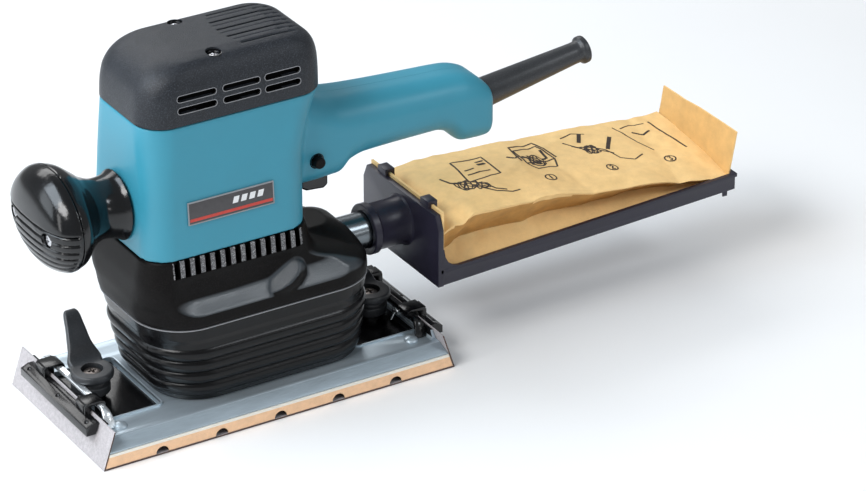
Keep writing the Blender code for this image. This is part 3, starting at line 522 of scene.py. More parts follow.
def repaint(thing, *choices):
    """Give faces another finish. Each test gets a face's centre and its normal; the first to hold wins."""
    for index, (paint, test) in enumerate(choices, 1):
        thing.data.materials.append(paint)
        for face in thing.data.polygons:
            if face.material_index == 0 and test(*face.center / MM, face.normal):
                face.material_index = index


PAINTED = set()


def paint_node(name, paint, width=0.0):
    """Paint a carried-over CAD node, with softened edges where asked."""
    thing = NODES[name]
    thing.data.materials.clear()
    thing.data.materials.append(paint)
    PAINTED.add(name)
    if width:
        bevelled(thing, width, 2, 35)
    return thing


# ---------------------------------------------------------------- casings

SEAM_LOW, SEAM_MID, SEAM_TOP = 65.5, 108.0, 187.0
GAP = 0.3
WALL = 2.6
CUT = 0.08    # half the width of the parting between the handle halves
MOTOR = ((SEAM_MID + GAP, -71.5, 31.0, 40.5, 16.0), (150.0, -69.8, 33.0, 37.7, 16.0),
         (172.0, -69.3, 39.0, 36.0, 17.0), (SEAM_TOP - GAP, -68.8, 45.5, 35.0, 18.0))
HANDLE = ((22.0, 24.0, 121.0, 181.0, 14.0), (45.0, 24.0, 120.0, 173.0, 15.0),
          (61.0, 23.5, 120.0, 167.0, 16.0), (69.0, 23.0, 126.0, 165.8, 16.0),
          (80.0, 22.0, 128.2, 165.0, 16.0), (128.0, 20.5, 128.6, 162.0, 15.0),
          (137.0, 20.3, 126.0, 161.6, 15.0), (147.0, 20.0, 118.0, 160.4, 14.0),
          (157.0, 19.3, 117.5, 157.0, 13.0), (163.0, 18.3, 118.6, 152.0, 10.0),
          (166.0, 15.5, 123.0, 148.5, 7.0))
BUTTON = Vector((43.4, -24.0, 137.7))
GUARD_START = Vector((160.0, 0.0, 138.0))
GUARD_ALONG = Vector((math.cos(math.radians(9)), 0, math.sin(math.radians(9))))
KNOB_Z = 130.5
NOZZLE_Z = 71.5
MOTOR_X = -18.0


def rings_of(rows, ring=flat_ring, step=3.0, inset=0.0):
    return [ring(*row, inset) for row in smooth_rows(rows, step)]


def past(rings, below, above):
    first = [Vector(p) - Vector((0, 0, below)) for p in rings[0]]
    last = [Vector(p) + Vector((0, 0, above)) for p in rings[-1]]
    return [first, *rings, last]


def build_housing():
    """Motor housing and both handle halves, moulded as one skin and then parted."""
    skin = raw(loft(rings_of(MOTOR)))
    union(skin, raw(loft(rings_of(HANDLE, upright_ring, 1.5))))
    remeshed(skin, 0.95, 5)
    fillet(skin, lambda p: band(p[:, 0], 26, 62, 8) * band(p[:, 2], 112, 182, 3), 45)
    merge(skin, boxes(((-200, -200, 0), (300, 200, SEAM_MID + GAP))),
          boxes(((-200, -200, SEAM_TOP - GAP), (300, 200, 400))),
          loft(past([flat_ring(*row, WALL) for row in MOTOR], 3, 3)),
          loft([upright_ring(*row, WALL) for row in HANDLE[:-2]]))
    # openings for the trigger, cord guard, knob stud and lock button
    merge(skin, boxes(((41.5, -8.2, 105), (61.5, 8.2, 132))),
          cylinder(GUARD_START - GUARD_ALONG * 6, GUARD_START + GUARD_ALONG * 14, 9.9),
          cylinder((-82, 0, KNOB_Z), (-58, 0, KNOB_Z), 4.4, 24),
          cylinder(BUTTON + Vector((0, -8, 0)), BUTTON + Vector((0, 10, 0)), 3.9, 32))
    far = raw(to_bmesh(skin.data))
    merge(far, loft(past(rings_of(MOTOR, inset=-1.2), 3, 3)), boxes(((-200, -200, 0), (400, CUT, 400))))
    slab = raw(boxes(((-40, -CUT, 60), (400, 200, 260))))
    merge(slab, loft(past(rings_of(MOTOR, inset=-1.0), 3, 3)))
    merge(skin, slab)
    piece(skin, "motor_housing_skin", BLUE, "housing", ["motor_housing"])
    piece(far, "handle_cover_skin", BLUE, "housing", ["handle_cover"])


COVER_ROWS = ((SEAM_TOP, -69.0, 46.0, 35.4, 18.0), (196.0, -68.6, 46.0, 35.2, 18.0),
              (205.0, -67.2, 45.8, 34.6, 18.0), (212.0, -63.6, 44.6, 33.0, 17.5),
              (217.2, -57.5, 41.2, 30.0, 16.0), (220.3, -49.5, 35.5, 25.6, 14.0),
              (221.5, -38.0, 26.0, 18.0, 11.0))
VENTS = [(x0, x1, z) for x0, x1 in ((-49.6, -25.4), (-21.2, 2.0), (5.2, 27.4)) for z in (196.5, 203.5)]
VENT_HALF, VENT_ROUND = 1.8, 1.7
SCREW_X, SCREW_Y = -20, 22.5


def vent_outline(x0, x1, z, grow=0.0):
    """Round-ended outline of one vent slot."""
    half = VENT_HALF + grow
    return round_rect(x0 - grow, x1 + grow, z - half, z + half, VENT_ROUND + grow, 6, 2)


def cover_y(z):
    """Half width of the top cover at a height."""
    rows = np.array(COVER_ROWS)
    return float(np.interp(z, rows[:, 0], rows[:, 3]))


def build_top_cover():
    cover = raw(loft(rings_of(COVER_ROWS, step=1.6)))
    # thin grooves along the rear half of the top
    ribs = bmesh.new()
    for k in range(9):
        y = -20.5 + 5.1 * k
        reach = 14.0 * (1 - (y / 26.0) ** 2)
        add_box(ribs, (1.0 - 0.5 * reach, y - 0.7, 219.6), (31.0 + reach * 0.75, y + 0.7, 224.0))
    merge(cover, ribs)
    remeshed(cover, 0.6, 1)
    merge(cover, loft([flat_ring(z - 2.4, x0, x1, hy, r, WALL) for z, x0, x1, hy, r in COVER_ROWS[:-2]]),
          boxes(((-200, -200, 100), (200, 200, SEAM_TOP))))
    for side in (-1, 1):
        for vent in VENTS:
            merge(cover, prism(vent_outline(*vent), (side * 28, side * 38), "y"))
        merge(cover, cylinder((SCREW_X, side * SCREW_Y, 217.3), (SCREW_X, side * SCREW_Y, 226), 4.6, 40),
              cylinder((SCREW_X, side * SCREW_Y, 190), (SCREW_X, side * SCREW_Y, 226), 2.4, 24))
    piece(cover, "top_cover_skin", COVER, "housing", ["top_cover"])
    # Painted shade on the inner walls of the vent slots.
    repaint(cover, (VENT_SHADE, lambda x, y, z, normal: 27.5 < abs(y) < cover_y(z) - 0.35 and 194 < z < 206
                    and -51 < x < 29))

    vent_highlight_rims, dark, recess_shade = bmesh.new(), bmesh.new(), bmesh.new()
    for side in (-1, 1):
        for vent in VENTS:
            z = vent[2]
            y = cover_y(z) + 0.05
            outer, inner = vent_outline(*vent, 0.35), vent_outline(*vent)
            # Pale rims round each vent slot: painted highlight on its edges.
            tube([[(u, side * (y - 0.9 * (v - z) * 0.11 + d), v) for u, v in line]
                  for line, d in ((outer, -0.8), (outer, 0.12), (inner, 0.12), (inner, -0.8))], vent_highlight_rims)
        # A near-black sheet behind each row of vents: painted shade.
        add_box(dark, (-55, side * 31.4 - 0.4, 193), (33, side * 31.4 + 0.4, 207))
        # Gloss black rings down each screw recess: painted shade.
        ring = turned((SCREW_X, side * SCREW_Y, 217.4), (0, 0, 1),
                      [(3.75, 0), (4.55, 0), (4.55, 3.0), (4.3, 3.0)], 40)
        recess_shade.from_mesh(to_mesh(ring))
    piece(sealed(vent_highlight_rims), "vent_edge_highlights", EDGE_HIGHLIGHT, "housing", ())
    piece(dark, "vent_shadow", VENT_SHADE, "housing", ())
    piece(recess_shade, "cover_recess_shade", GLOSS, "housing", ())
    for word, side in (("near", -1), ("far", 1)):
        phillips(f"cover_screw_{word}_head", (SCREW_X, side * SCREW_Y, 217.7), (0, 0, 1), 3.4, 1.5,
                 "housing", [name for name in NODES if name.startswith("cover_screw") and word in name], 24.0)


def phillips(name, seat, up, radius, height, body, stands_for, shank=0.0, paint=None, shank_radius=1.9):
    """A domed cross-head screw; seat is the underside of the head."""
    seat, up = Vector(seat), Vector(up).normalized()
    profile = [(0.01, 0.0), (radius * 0.96, 0.0), (radius, height * 0.3), (radius * 0.93, height * 0.7),
               (radius * 0.72, height * 0.93), (radius * 0.4, height), (0.01, height * 1.02)]
    head = raw(turned(seat, up, profile, 48, closed=False))
    side = up.orthogonal().normalized()
    other = up.cross(side)
    for arm, cross in ((side + other, side - other), (side - other, side + other)):
        arm, cross = arm.normalized(), cross.normalized()
        rings = []
        for t, long, wide in ((height * 0.25, 0.28, 0.10), (height * 1.4, 0.62, 0.17)):
            centre = seat + up * t
            rings.append([centre + arm * radius * a * long + cross * radius * b * wide
                          for a, b in ((-1, -1), (1, -1), (1, 1), (-1, 1))])
        merge(head, loft(rings))
    if shank:
        union(head, cylinder(seat + up * 0.3, seat - up * shank, shank_radius, 20))
    return piece(head, name, paint or ZINC, body, stands_for, angle=40)


LOWER = ((SEAM_LOW + GAP, -72.4, 75.0, 47.8, 31.0), (68.5, -73.2, 75.0, 48.1, 31.0),
         (74.0, -74.2, 74.6, 48.0, 31.0), (82.0, -75.2, 60.0, 45.6, 25.0),
         (92.0, -74.8, 37.5, 43.0, 19.0), (SEAM_MID, -72.0, 32.5, 41.0, 17.0))
HOLLOW = ((69.5, *LOWER[0][1:]), (76.0, -74.0, 70.0, 44.5, 29.0), (83.0, -75.0, 52.0, 41.2, 22.0),
          (92.0, -74.8, 37.0, 40.6, 19.0), (SEAM_MID + 3, -72.0, 32.0, 40.6, 17.0))
HUMP = ((SEAM_LOW + GAP, -20.0, 75.0, 40.0, 20.0), (74.0, -20.0, 74.6, 36.0, 18.0),
        (79.0, -20.0, 72.6, 29.0, 15.0), (83.5, -20.0, 69.6, 22.5, 13.0),
        (87.0, -20.0, 65.5, 17.0, 11.0), (89.5, -20.0, 60.0, 12.0, 9.0))
SLOT_START, SLOT_PITCH, SLOT_WIDTH, SLOT_COUNT, SLOT_LOW = -58.0, 6.4, 3.6, 13, 97.5
BUMP = Vector((9.5, -41.0, 80.8))
FACET = Vector((-0.40, -0.60, 0.69)).normalized()


def scooped(thing):
    """Press in the strip above the ledge that runs along each side of the lower housing."""
    co = coordinates(thing)
    x, y, z = co.T
    start = np.clip((x + 60) / 13, 0, 1)
    reach = (start ** 0.6) * np.clip((70 - x) / 10, 0, 1)
    low = 74.6 - 0.6 * start
    up = 7.5 + 3.5 * np.clip((x + 20) / 70, 0, 1)
    share = np.clip((z - low) / up, 0, 1)
    limit = 41.0 + 7.0 * (1 - share) ** 1.1
    pressed = np.abs(y) + (np.minimum(np.abs(y), limit) - np.abs(y)) * reach
    pressed = np.where(z > low, pressed, np.abs(y))
    fade = np.clip((98 - z) / 5, 0, 1)
    co[:, 1] = np.sign(y) * (np.abs(y) + (pressed - np.abs(y)) * fade)
    set_coordinates(thing, co)
    return thing


def build_bump():
    """Rounded bulge on the side wall with its upper outer face cut flat."""
    bump = raw(ellipsoid(BUMP, (16.0, 8.8, 10.8), -12))
    cutter = bmesh.new()
    bmesh.ops.create_cube(cutter, size=60 * MM, matrix=Matrix.Translation((BUMP + FACET * 34.1) * MM)
                          @ FACET.to_track_quat("Z", "Y").to_matrix().to_4x4())
    return merge(bump, cutter)


def build_lower_housing():
    skin = raw(loft(rings_of(LOWER, step=2.5)))
    scooped(remeshed(skin, 0.8, 2))
    union(skin, loft(rings_of(HUMP)), build_bump())
    remeshed(skin, 0.8, 3)
    fillet(skin, lambda p: np.ones(len(p)), 7)
    merge(skin, boxes(((-200, -200, 0), (300, 200, SEAM_LOW + GAP))),
          boxes(((-200, -200, SEAM_MID), (300, 200, 400))),
          loft([flat_ring(*row, WALL, 4) for row in HOLLOW]))
    slots = bmesh.new()
    for i in range(SLOT_COUNT):
        left = SLOT_START + SLOT_PITCH * i
        add_box(slots, (left, -60, SLOT_LOW), (left + SLOT_WIDTH, 60, SEAM_MID + 2))
    merge(skin, slots, cylinder((50, 0, NOZZLE_Z), (90, 0, NOZZLE_Z), 11.3, 64),
          cylinder((MOTOR_X, 0, 60), (MOTOR_X, 0, 75), 13.0, 48))
    piece(skin, "lower_housing_skin", LEDGE_PAINTED_SHEEN, "housing", ["lower_housing"])
    # Painted highlight: the bars between the vent slots take the lit grey finish.
    repaint(skin, (SLOT_BAR_HIGHLIGHT, lambda x, y, z, normal: z > SLOT_LOW + 0.3 and abs(y) > 38
                   and SLOT_START - 0.5 < x < 24 and abs(normal.y) > 0.6))


SKIRT_LOW, SKIRT_HIGH = 16.0, 64.9
RIB_LOW, RIB_HIGH, RIB_COUNT = 19.0, 51.0, 4


def skirt_row(z):
    """Section of the bellows at a height, which widens upwards."""
    share = (z - SKIRT_LOW) / (SKIRT_HIGH - SKIRT_LOW)
    return z, -60 - 11.3 * share, 70.2 + 4.1 * share, 41 + 5.9 * share, 28 + 3 * share


def build_skirt():
    """Rubber bellows with rounded ribs under a smooth band."""
    outer, inner = [], []
    for z in np.arange(SKIRT_LOW, SKIRT_HIGH + 0.01, 0.4):
        swell = 0.0
        if RIB_LOW <= z <= RIB_HIGH:
            swell = 2.1 * abs(math.sin(math.pi * (z - RIB_LOW) / (RIB_HIGH - RIB_LOW) * RIB_COUNT)) ** 0.6
        if z > 55:
            swell = 0.5 * min(1.0, (z - 55) / 3)
        outer.append(flat_ring(*skirt_row(z), -swell, 18))
        inner.append(flat_ring(*skirt_row(z), 2.2 - swell * 0.5, 18))
    skirt = raw(sealed(tube(outer + inner[::-1])))
    merge(skirt, cylinder((50, 0, NOZZLE_Z), (95, 0, NOZZLE_Z), 11.3, 64))
    # small nicks on the near front corner, one to a rib
    ticks = bmesh.new()
    for z in (50.5, 42.5, 34.5):
        _, x, _, y, reach = skirt_row(z)
        spot = Vector((x + reach, -(y - reach))) + Vector((-0.96, -0.29)) * (reach + 1.6)
        add_box(ticks, (spot.x - 1.2, spot.y - 0.25, z - 3.4), (spot.x + 1.0, spot.y + 0.25, z + 0.6))
    merge(skirt, ticks)
    # Pale ring at the seam over the skirt: painted highlight along the parting line.
    line = [flat_ring(z, *LOWER[0][1:], inset, 18)
            for z, inset in ((65.3, 1.2), (65.3, -0.12), (65.75, -0.12), (65.75, 1.2))]
    piece(tube(line), "parting_line_highlight", EDGE_HIGHLIGHT, "housing", ())
    piece(skirt, "skirt_bellows", RUBBER, "housing", ["skirt"], angle=50)


KNOB_REAR = ((-71.6, 21, 21, 130.5), (-76, 18.5, 18.5, 130.5), (-84, 17.5, 17.5, 131),
             (-92, 21, 20, 131.5), (-99, 28, 25, 132), (-105, 35, 28.5, 132.5), (-110.3, 37.5, 30, 132.5))
KNOB_FRONT = ((-110.6, 37.5, 30, 132.5), (-113.6, 37.1, 29.6, 132.5), (-117.5, 35.4, 27.6, 132.5),
              (-121.4, 32, 24, 132.5), (-124.4, 26, 18.4, 132.5), (-126.3, 19, 12, 132.5),
              (-127.3, 10, 6, 132.5))
KNOB_HOLLOW = ((-108, 34.0, 26.5, 132.5), (-113, 32.5, 25.0, 132.5), (-116.5, 26.0, 19.0, 132.5))


def build_knob():
    grip = raw(loft([oval_ring(*row) for row in smooth_rows(KNOB_REAR, 1.5)]))
    remeshed(grip, 0.75, 3)
    merge(grip, cylinder((-60, 0, KNOB_Z), (-106, 0, KNOB_Z), 4.4, 24),
          boxes(((-71.6, -50, 80), (-60, 50, 180))))
    piece(grip, "knob_rear_grip", GLOSS, "housing", ["knob_rear"])

    cap = raw(loft([oval_ring(*row) for row in smooth_rows(KNOB_FRONT, 1.2)]))
    remeshed(cap, 0.5, 3)
    # grooves across the cap, with everything under the top one set back
    co, out = coordinates(cap), normals(cap)
    depth = np.zeros(len(co))
    for z in (136.8, 131.6, 126.6, 121.8, 117.2, 112.8):
        depth += np.exp(-((co[:, 2] - z) / 0.62) ** 2)
    depth += 0.45 * (co[:, 2] < 136.8)
    depth *= band(co[:, 0], -130, -113.2, 0.8)
    set_coordinates(cap, co - out * depth[:, None])
    for side in (-1, 1):
        merge(cap, cylinder((-122.5, side * 20, 131), (-131, side * 20, 131), 4.4, 32))
    merge(cap, loft([oval_ring(*row) for row in KNOB_HOLLOW]))
    for side in (-1, 1):
        merge(cap, cylinder((-108, side * 20, 131), (-131, side * 20, 131), 1.9, 24))
    piece(cap, "knob_front_cap", GLOSS, "housing", ["knob_front"], angle=50)
    for word, side in (("near", -1), ("far", 1)):
        phillips(f"knob_screw_{word}_head", (-122.7, side * 20, 131), (-1, 0, 0), 3.7, 1.7, "housing",
                 [f"knob_screw_{word}"], 17.0, shank_radius=1.5)


def wall_y(z, off):
    rise = (MOTOR[1][3] - MOTOR[0][3]) / (MOTOR[1][0] - MOTOR[0][0])
    return -(MOTOR[0][3] + rise * (z - MOTOR[0][0]) + off)


def on_wall(points, low, high, bm=None):
    """A slim slab of a given outline that lies on the leaning side wall."""
    return loft([[(x, wall_y(z, off), z) for x, z in points] for off in (low, high)], bm=bm)


def wall_panel(x0, x1, z0, z1, low, high, bm=None):
    return on_wall(((x0, z0), (x1, z0), (x1, z1), (x0, z1)), low, high, bm)


def build_nameplate():
    """Blank plate with a stripe, a thin rim and a row of four slanted bars."""
    piece(wall_panel(-46.9, 6.1, 128.6, 140.9, 0.3, 0.95), "nameplate_panel", BADGE, "housing", ["nameplate"],
          bevel=0.15)
    piece(wall_panel(-46.5, 5.7, 129.8, 131.5, 0.9, 1.04), "nameplate_stripe", STRIPE, "housing", ())
    rim = bmesh.new()
    for x0, x1, z0, z1 in ((-47.5, 6.7, 140.9, 141.5), (-47.5, 6.7, 128.0, 128.6),
                           (-47.5, -46.9, 128.6, 140.9), (6.1, 6.7, 128.6, 140.9)):
        wall_panel(x0, x1, z0, z1, 0.3, 1.1, rim)
    # The rim takes the pale edge finish: a painted highlight.
    piece(rim, "nameplate_rim", EDGE_HIGHLIGHT, "housing", ())
    bars = bmesh.new()
    for k in range(4):
        x, z = -17.5 + 5.2 * k, 136.4
        on_wall([(x + a, z + b) for a, b in ((-2.1, -1.9), (1.3, -1.9), (2.5, 1.9), (-0.9, 1.9))],
                0.9, 1.02, bars)
    piece(bars, "nameplate_bars", WHITE, "housing", ())


def build_cord_guard():
    """Stiff sleeve with a rolled lip at its far end."""
    tip = 80.0
    profile = [(9.4, 6.0), (9.4, 0.0), (3.6, 0.0), (3.6, tip - 14), (4.4, tip - 14), (4.4, tip),
               (7.6, tip), (8.2, tip - 0.4), (8.4, tip - 1.0), (8.4, tip - 3.2), (8.1, tip - 3.9),
               (7.2, tip - 4.6), (6.5, tip - 6.0), (6.5, tip - 9), (9.2, 6.3)]
    piece(turned(GUARD_START, GUARD_ALONG, profile), "cord_guard_sleeve", LEVER, "housing", ["cord_guard"],
          angle=45)


def build_controls():
    ring = turned(BUTTON + Vector((0, 0.9, 0)), (0, -1, 0),
                  [(3.9, 0.0), (4.9, 0.0), (4.9, 0.7), (4.5, 1.1), (3.95, 0.9)], 40)
    piece(ring, "lock_button_bezel", GLOSS, "housing", ())
    paint_node("trigger", GLOSS, 0.3)
    paint_node("lock_button", CASING)


# ---------------------------------------------------------------- sanding base

FOLD_LOW, FOLD_MID, FOLD_TOP = 9.3, 15.3, 21.8
END_INSET, END_LIP = -1.1, 1.6
HUB_X = 91.0


def end_line(z, offset=0.0):
    """Where the leaning end of the base stands at a height."""
    return 114.5 - 0.333 * z + offset


def both_ends(outline):
    """The outline for the rear end and its mirror image for the front."""
    return [[(end * x, z) for x, z in outline] for end in (-1, 1)]


def build_plate():
    """Folded plate: flat top, sloping sides, upturned ends and a well for each clamp."""
    low, mid, top = FOLD_LOW, FOLD_MID, FOLD_TOP
    half = [(-56.9, low), (-56.9, low + 0.9), (-56.0, low + 1.6), (-50.6, mid - 0.3), (-49.6, mid + 0.25),
            (-48.4, mid + 0.2), (-47.2, mid)]
    body = raw(prism(half + [(-y, z) for y, z in reversed(half)], (-113, 113), "x"))
    low_x, mid_x, top_x = (end_line(z, END_INSET) for z in (low, mid, top))
    ends = bmesh.new()
    for outline in both_ends([(low_x - 12, low), (low_x, low), (top_x, top), (top_x - END_LIP, top),
                              (end_line(mid + 1.2, END_INSET) - END_LIP - 0.4, mid + 1.2),
                              (mid_x - END_LIP - 2.2, mid), (mid_x - 12, mid)]):
        prism(outline, (-46.5, 46.5), "y", ends)
    beyond = bmesh.new()
    for outline in both_ends([(end_line(0, END_INSET), 0), (130, 0), (130, 40),
                              (end_line(40, END_INSET), 40)]):
        prism(outline, (-70, 70), "y", beyond)
    union(body, ends)
    merge(body, beyond)

    wells, walls, posts, domes = bmesh.new(), bmesh.new(), bmesh.new(), bmesh.new()
    holes = cylinder((-15.6, 0, 22.5), (-15.6, 0, 40), 13.3, 48)
    for end in (-1, 1):
        x0, x1 = sorted((end * 63.0, end * 104.6))
        prism(round_rect(x0, x1, -31.2, 31.2, 3.0, 6, 2), (11.6, 40), "z", wells)
        x0, x1 = sorted((end * 62.0, end * 104.9))
        outer = round_rect(x0, x1, -32.3, 32.3, 4.0, 6, 2)
        inner = round_rect(x0 + 1.0, x1 - 1.0, -31.3, 31.3, 3.2, 6, 2)
        tube([[(u, v, z) for u, v in line]
              for line, z in ((outer, 14.5), (outer, 16.2), (inner, 16.2), (inner, 14.5))], walls)
        cylinder((end * HUB_X, 0, 10.5), (end * HUB_X, 0, 17.4), 7.0, 40, bm=posts)
        cylinder((end * HUB_X, 0, 12.0), (end * HUB_X, 0, 25), 2.8, 24, bm=holes)
        for side in (-1, 1):
            dome = turned((end * 95, side * 40.5, 14.8), (0, 0, 1),
                          [(0.02, 0), (4.2, 0), (4.2, 0.7), (3.7, 1.6), (2.6, 2.3), (1.2, 2.7), (0.02, 2.8)],
                          32, False)
            domes.from_mesh(to_mesh(dome))
    cylinder((-15.6, 0, 14), (-15.6, 0, 34), 17.5, 48, bm=posts)
    merge(body, wells)
    union(body, sealed(walls), posts, domes)
    merge(body, holes)
    piece(body, "base_plate_skin", PLATE, "base", ["base_plate"], angle=28, bevel=0.25)
    # Painted shade: black on the lip tops at both ends and on the post under each lever hub, and the darker
    # finish on the sloping sides.
    repaint(body, (TRAY, lambda x, y, z, normal: (abs(x) > 103.2 and abs(y) < 40 and z > 17.5)
                   or (math.hypot(abs(x) - HUB_X, y) < 7.5 and z > 11.0)),
            (SLOPE_SHADE, lambda x, y, z, normal: abs(y) > 50.4 and z < mid))


def build_hinge_strip(word, end):
    """Bright bent strip that the jaw hooks over, with its two feet on the plate."""
    path = [(-40.5, 15.4), (-39.8, 18.5), (-38.4, 21.8), (-36.6, 24.0), (-34.0, 25.0)]
    path += [(y, 25.0) for y in (-20, 0, 20)] + [(-y, z) for y, z in reversed(path)]
    rings = []
    for k, (y, z) in enumerate(path):
        y0, z0 = path[max(k - 1, 0)]
        y1, z1 = path[min(k + 1, len(path) - 1)]
        along = Vector((0, y1 - y0, z1 - z0)).normalized()
        up = Vector((0, -along.z, along.y))
        wide = 1.9 + 1.5 * clamped((4 - min(k, len(path) - 1 - k)) / 3)
        rings.append([Vector((end * 101.6 + u * wide, 0, 0)) + Vector((0, y, z)) + up * v * 1.3
                      for u, v in ((-1, -0.6), (-0.8, -1), (0.8, -1), (1, -0.6),
                                   (1, 0.6), (0.8, 1), (-0.8, 1), (-1, 0.6))])
    # The rear strip is painted black as shade; the front one stays bright.
    piece(loft(rings), f"hinge_strip_{word}", BRIGHT if end < 0 else TRAY, "base", [f"hinge_pin_{word}"],
          angle=50)


def build_jaw(word, end):
    """Clamp bar with three dimples, hooked to the strip by two curled tabs."""
    def run(points, y0, y1):
        return prism([(end * x, z) for x, z in points], (y0, y1), "y")

    face, top = end_line(14.0, 0.6), end_line(21.4, 0.6)
    tab = [(top + 0.2, 20.0), (top + 3.6, 20.0), (top + 3.6, 26.6), (top + 2.4, 28.0), (101.6, 28.1),
           (99.0, 27.2), (98.2, 25.2), (99.2, 23.2), (100.2, 23.0), (99.9, 25.2), (101.0, 26.5),
           (top + 0.2, 26.2)]
    block = [(104.6, 22.2), (112.0, 22.2), (112.0, 27.2), (104.6, 27.2)]
    ridge = [(top + 0.6, 21.0), (top + 2.6, 21.0), (top + 2.6, 22.6), (top + 0.6, 22.6)]
    jaw = raw(run([(116.2, 14.6), (face, 14.6), (top, 21.4), (top + 3.4, 21.4), (116.2, 19.2)], -41.0, 41.0))
    union(jaw, run(tab, -30.4, -19.6), run(tab, 19.6, 30.4), run(block, -29.0, -21.0), run(block, 21.0, 29.0),
          run(ridge, -18.0, 18.0))
    for y in (-35.5, 0.0, 35.5):
        merge(jaw, ellipsoid((end * (top + 5.6), y, 21.0), (1.6, 1.6, 1.5)))
    piece(jaw, f"jaw_{word}_bar", TRAY, f"{word}_jaw", [f"jaw_{word}"], bevel=0.35)
    springs = bmesh.new()
    for side in (-1, 1):
        cylinder((end * 99.6, side * 14.0, 21.6), (end * 99.6, side * 19.0, 21.6), 1.3, 20, bm=springs)
        cylinder((end * 99.6, side * 15.5, 21.6), (end * 96.5, side * 15.5, 16.5), 0.6, 12, bm=springs)
    piece(springs, f"jaw_springs_{word}", BRIGHT, "base", ())


def build_base():
    build_plate()
    pad = paint_node("pad", FOAM)
    repaint(pad, (SHADE, lambda x, y, z, normal: abs(normal.y) < 0.5 and 1.3 < z < 6.0 and normal.z < -0.02
                  and abs(x) < 90))

    thick, tall = 0.8, 22.5
    outline = [(-end_line(0), 0), (end_line(0), 0), (end_line(tall), tall), (end_line(tall, -thick), tall),
               (end_line(thick, -thick), thick), (-end_line(thick, -thick), thick),
               (-end_line(tall, -thick), tall), (-end_line(tall), tall)]
    sheet = piece(prism(outline, np.linspace(-57.5, 57.5, 24), "y"), "abrasive_paper", GRIT, "base",
                  ["abrasive_sheet"])
    repaint(sheet, (PAPER_BACK, lambda x, y, z, normal: normal.z > 0.5
                    or (abs(normal.x) > 0.8 and abs(x) > 100)))


def build_clamps():
    for word, end in (("front", -1), ("rear", 1)):
        paint_node(f"tray_{word}", TRAY)
        build_hinge_strip(word, end)
        build_jaw(word, end)
        build_lever(word, end)
        phillips(f"lever_screw_{word}_head", (end * HUB_X, 0, 28.2), (0, 0, 1), 5.2, 1.6, "base",
                 [f"lever_screw_{word}"], 15.6, DULL, 2.5)


def build_lever(word, end):
    """Hub with a dished cap, a cam underneath and a blade that rises to the side."""
    cx = end * HUB_X
    whole = turned((cx, 0, 26.9), (0, 0, 1),
                   [(0.02, 0), (11.9, 0), (12.4, 0.6), (12.4, 3.5), (11.7, 4.3), (0.02, 4.3)], closed=False)
    cylinder((cx, 0, 18.0), (cx, 0, 28.0), 8.2, bm=whole)
    cylinder((cx, 0, 17.5), (cx, 0, 22.6), 10.2, bm=whole)
    cam = []
    for k in range(60):
        angle = 2 * math.pi * k / 60
        reach = 9.0 + 3.5 * max(0.0, math.cos(angle - math.radians(30))) ** 2
        cam.append((cx + end * reach * math.cos(angle), reach * math.sin(angle)))
    prism(cam, (17.8, 23.1), "z", whole)
    rows = ((6.0, 27.2, 30.8, 9.5, 0.0), (12.5, 28.6, 32.8, 10.4, 1.0), (18.0, 35.2, 39.6, 7.6, 1.0),
            (26.0, 43.5, 47.2, 5.9, 2.4), (32.6, 50.0, 53.0, 4.5, 3.2), (33.8, 51.4, 53.4, 3.3, 3.3))
    blade = []
    for y, z0, z1, half, lean in smooth_rows(rows, 1.5):
        ring = round_rect(-half, half, z0, z1, 1.4, 5, 3)
        blade.append([(cx - end * lean + u, y - (v - z0) * 0.55, v) for u, v in ring])
    loft(blade, bm=whole)
    lever = remeshed(raw(whole), 0.5, 3)
    fillet(lever, lambda p: band(p[:, 2], 26, 40, 2), 14)
    merge(lever, cylinder((cx, 0, 27.6), (cx, 0, 36), 6.4, 48), cylinder((cx, 0, 10), (cx, 0, 30), 2.8, 32))
    piece(lever, f"lever_{word}_blade", LEVER, f"{word}_lever", [f"lever_{word}"], angle=50)


# ---------------------------------------------------------------- dust gear

HOLDER_HALF = 42.5


def lift(x):
    """How far the tray has risen along its length."""
    return 0.042 * (x - 116.0)


def build_nozzle():
    piece(turned((62, 0, NOZZLE_Z), (1, 0, 0),
                 [(11.0, 0), (11.0, 46.6), (10.7, 47), (10.1, 47), (9.8, 46.6), (9.8, 0)], 80),
          "nozzle_tube", PIPE, "housing", ["nozzle_pipe"])


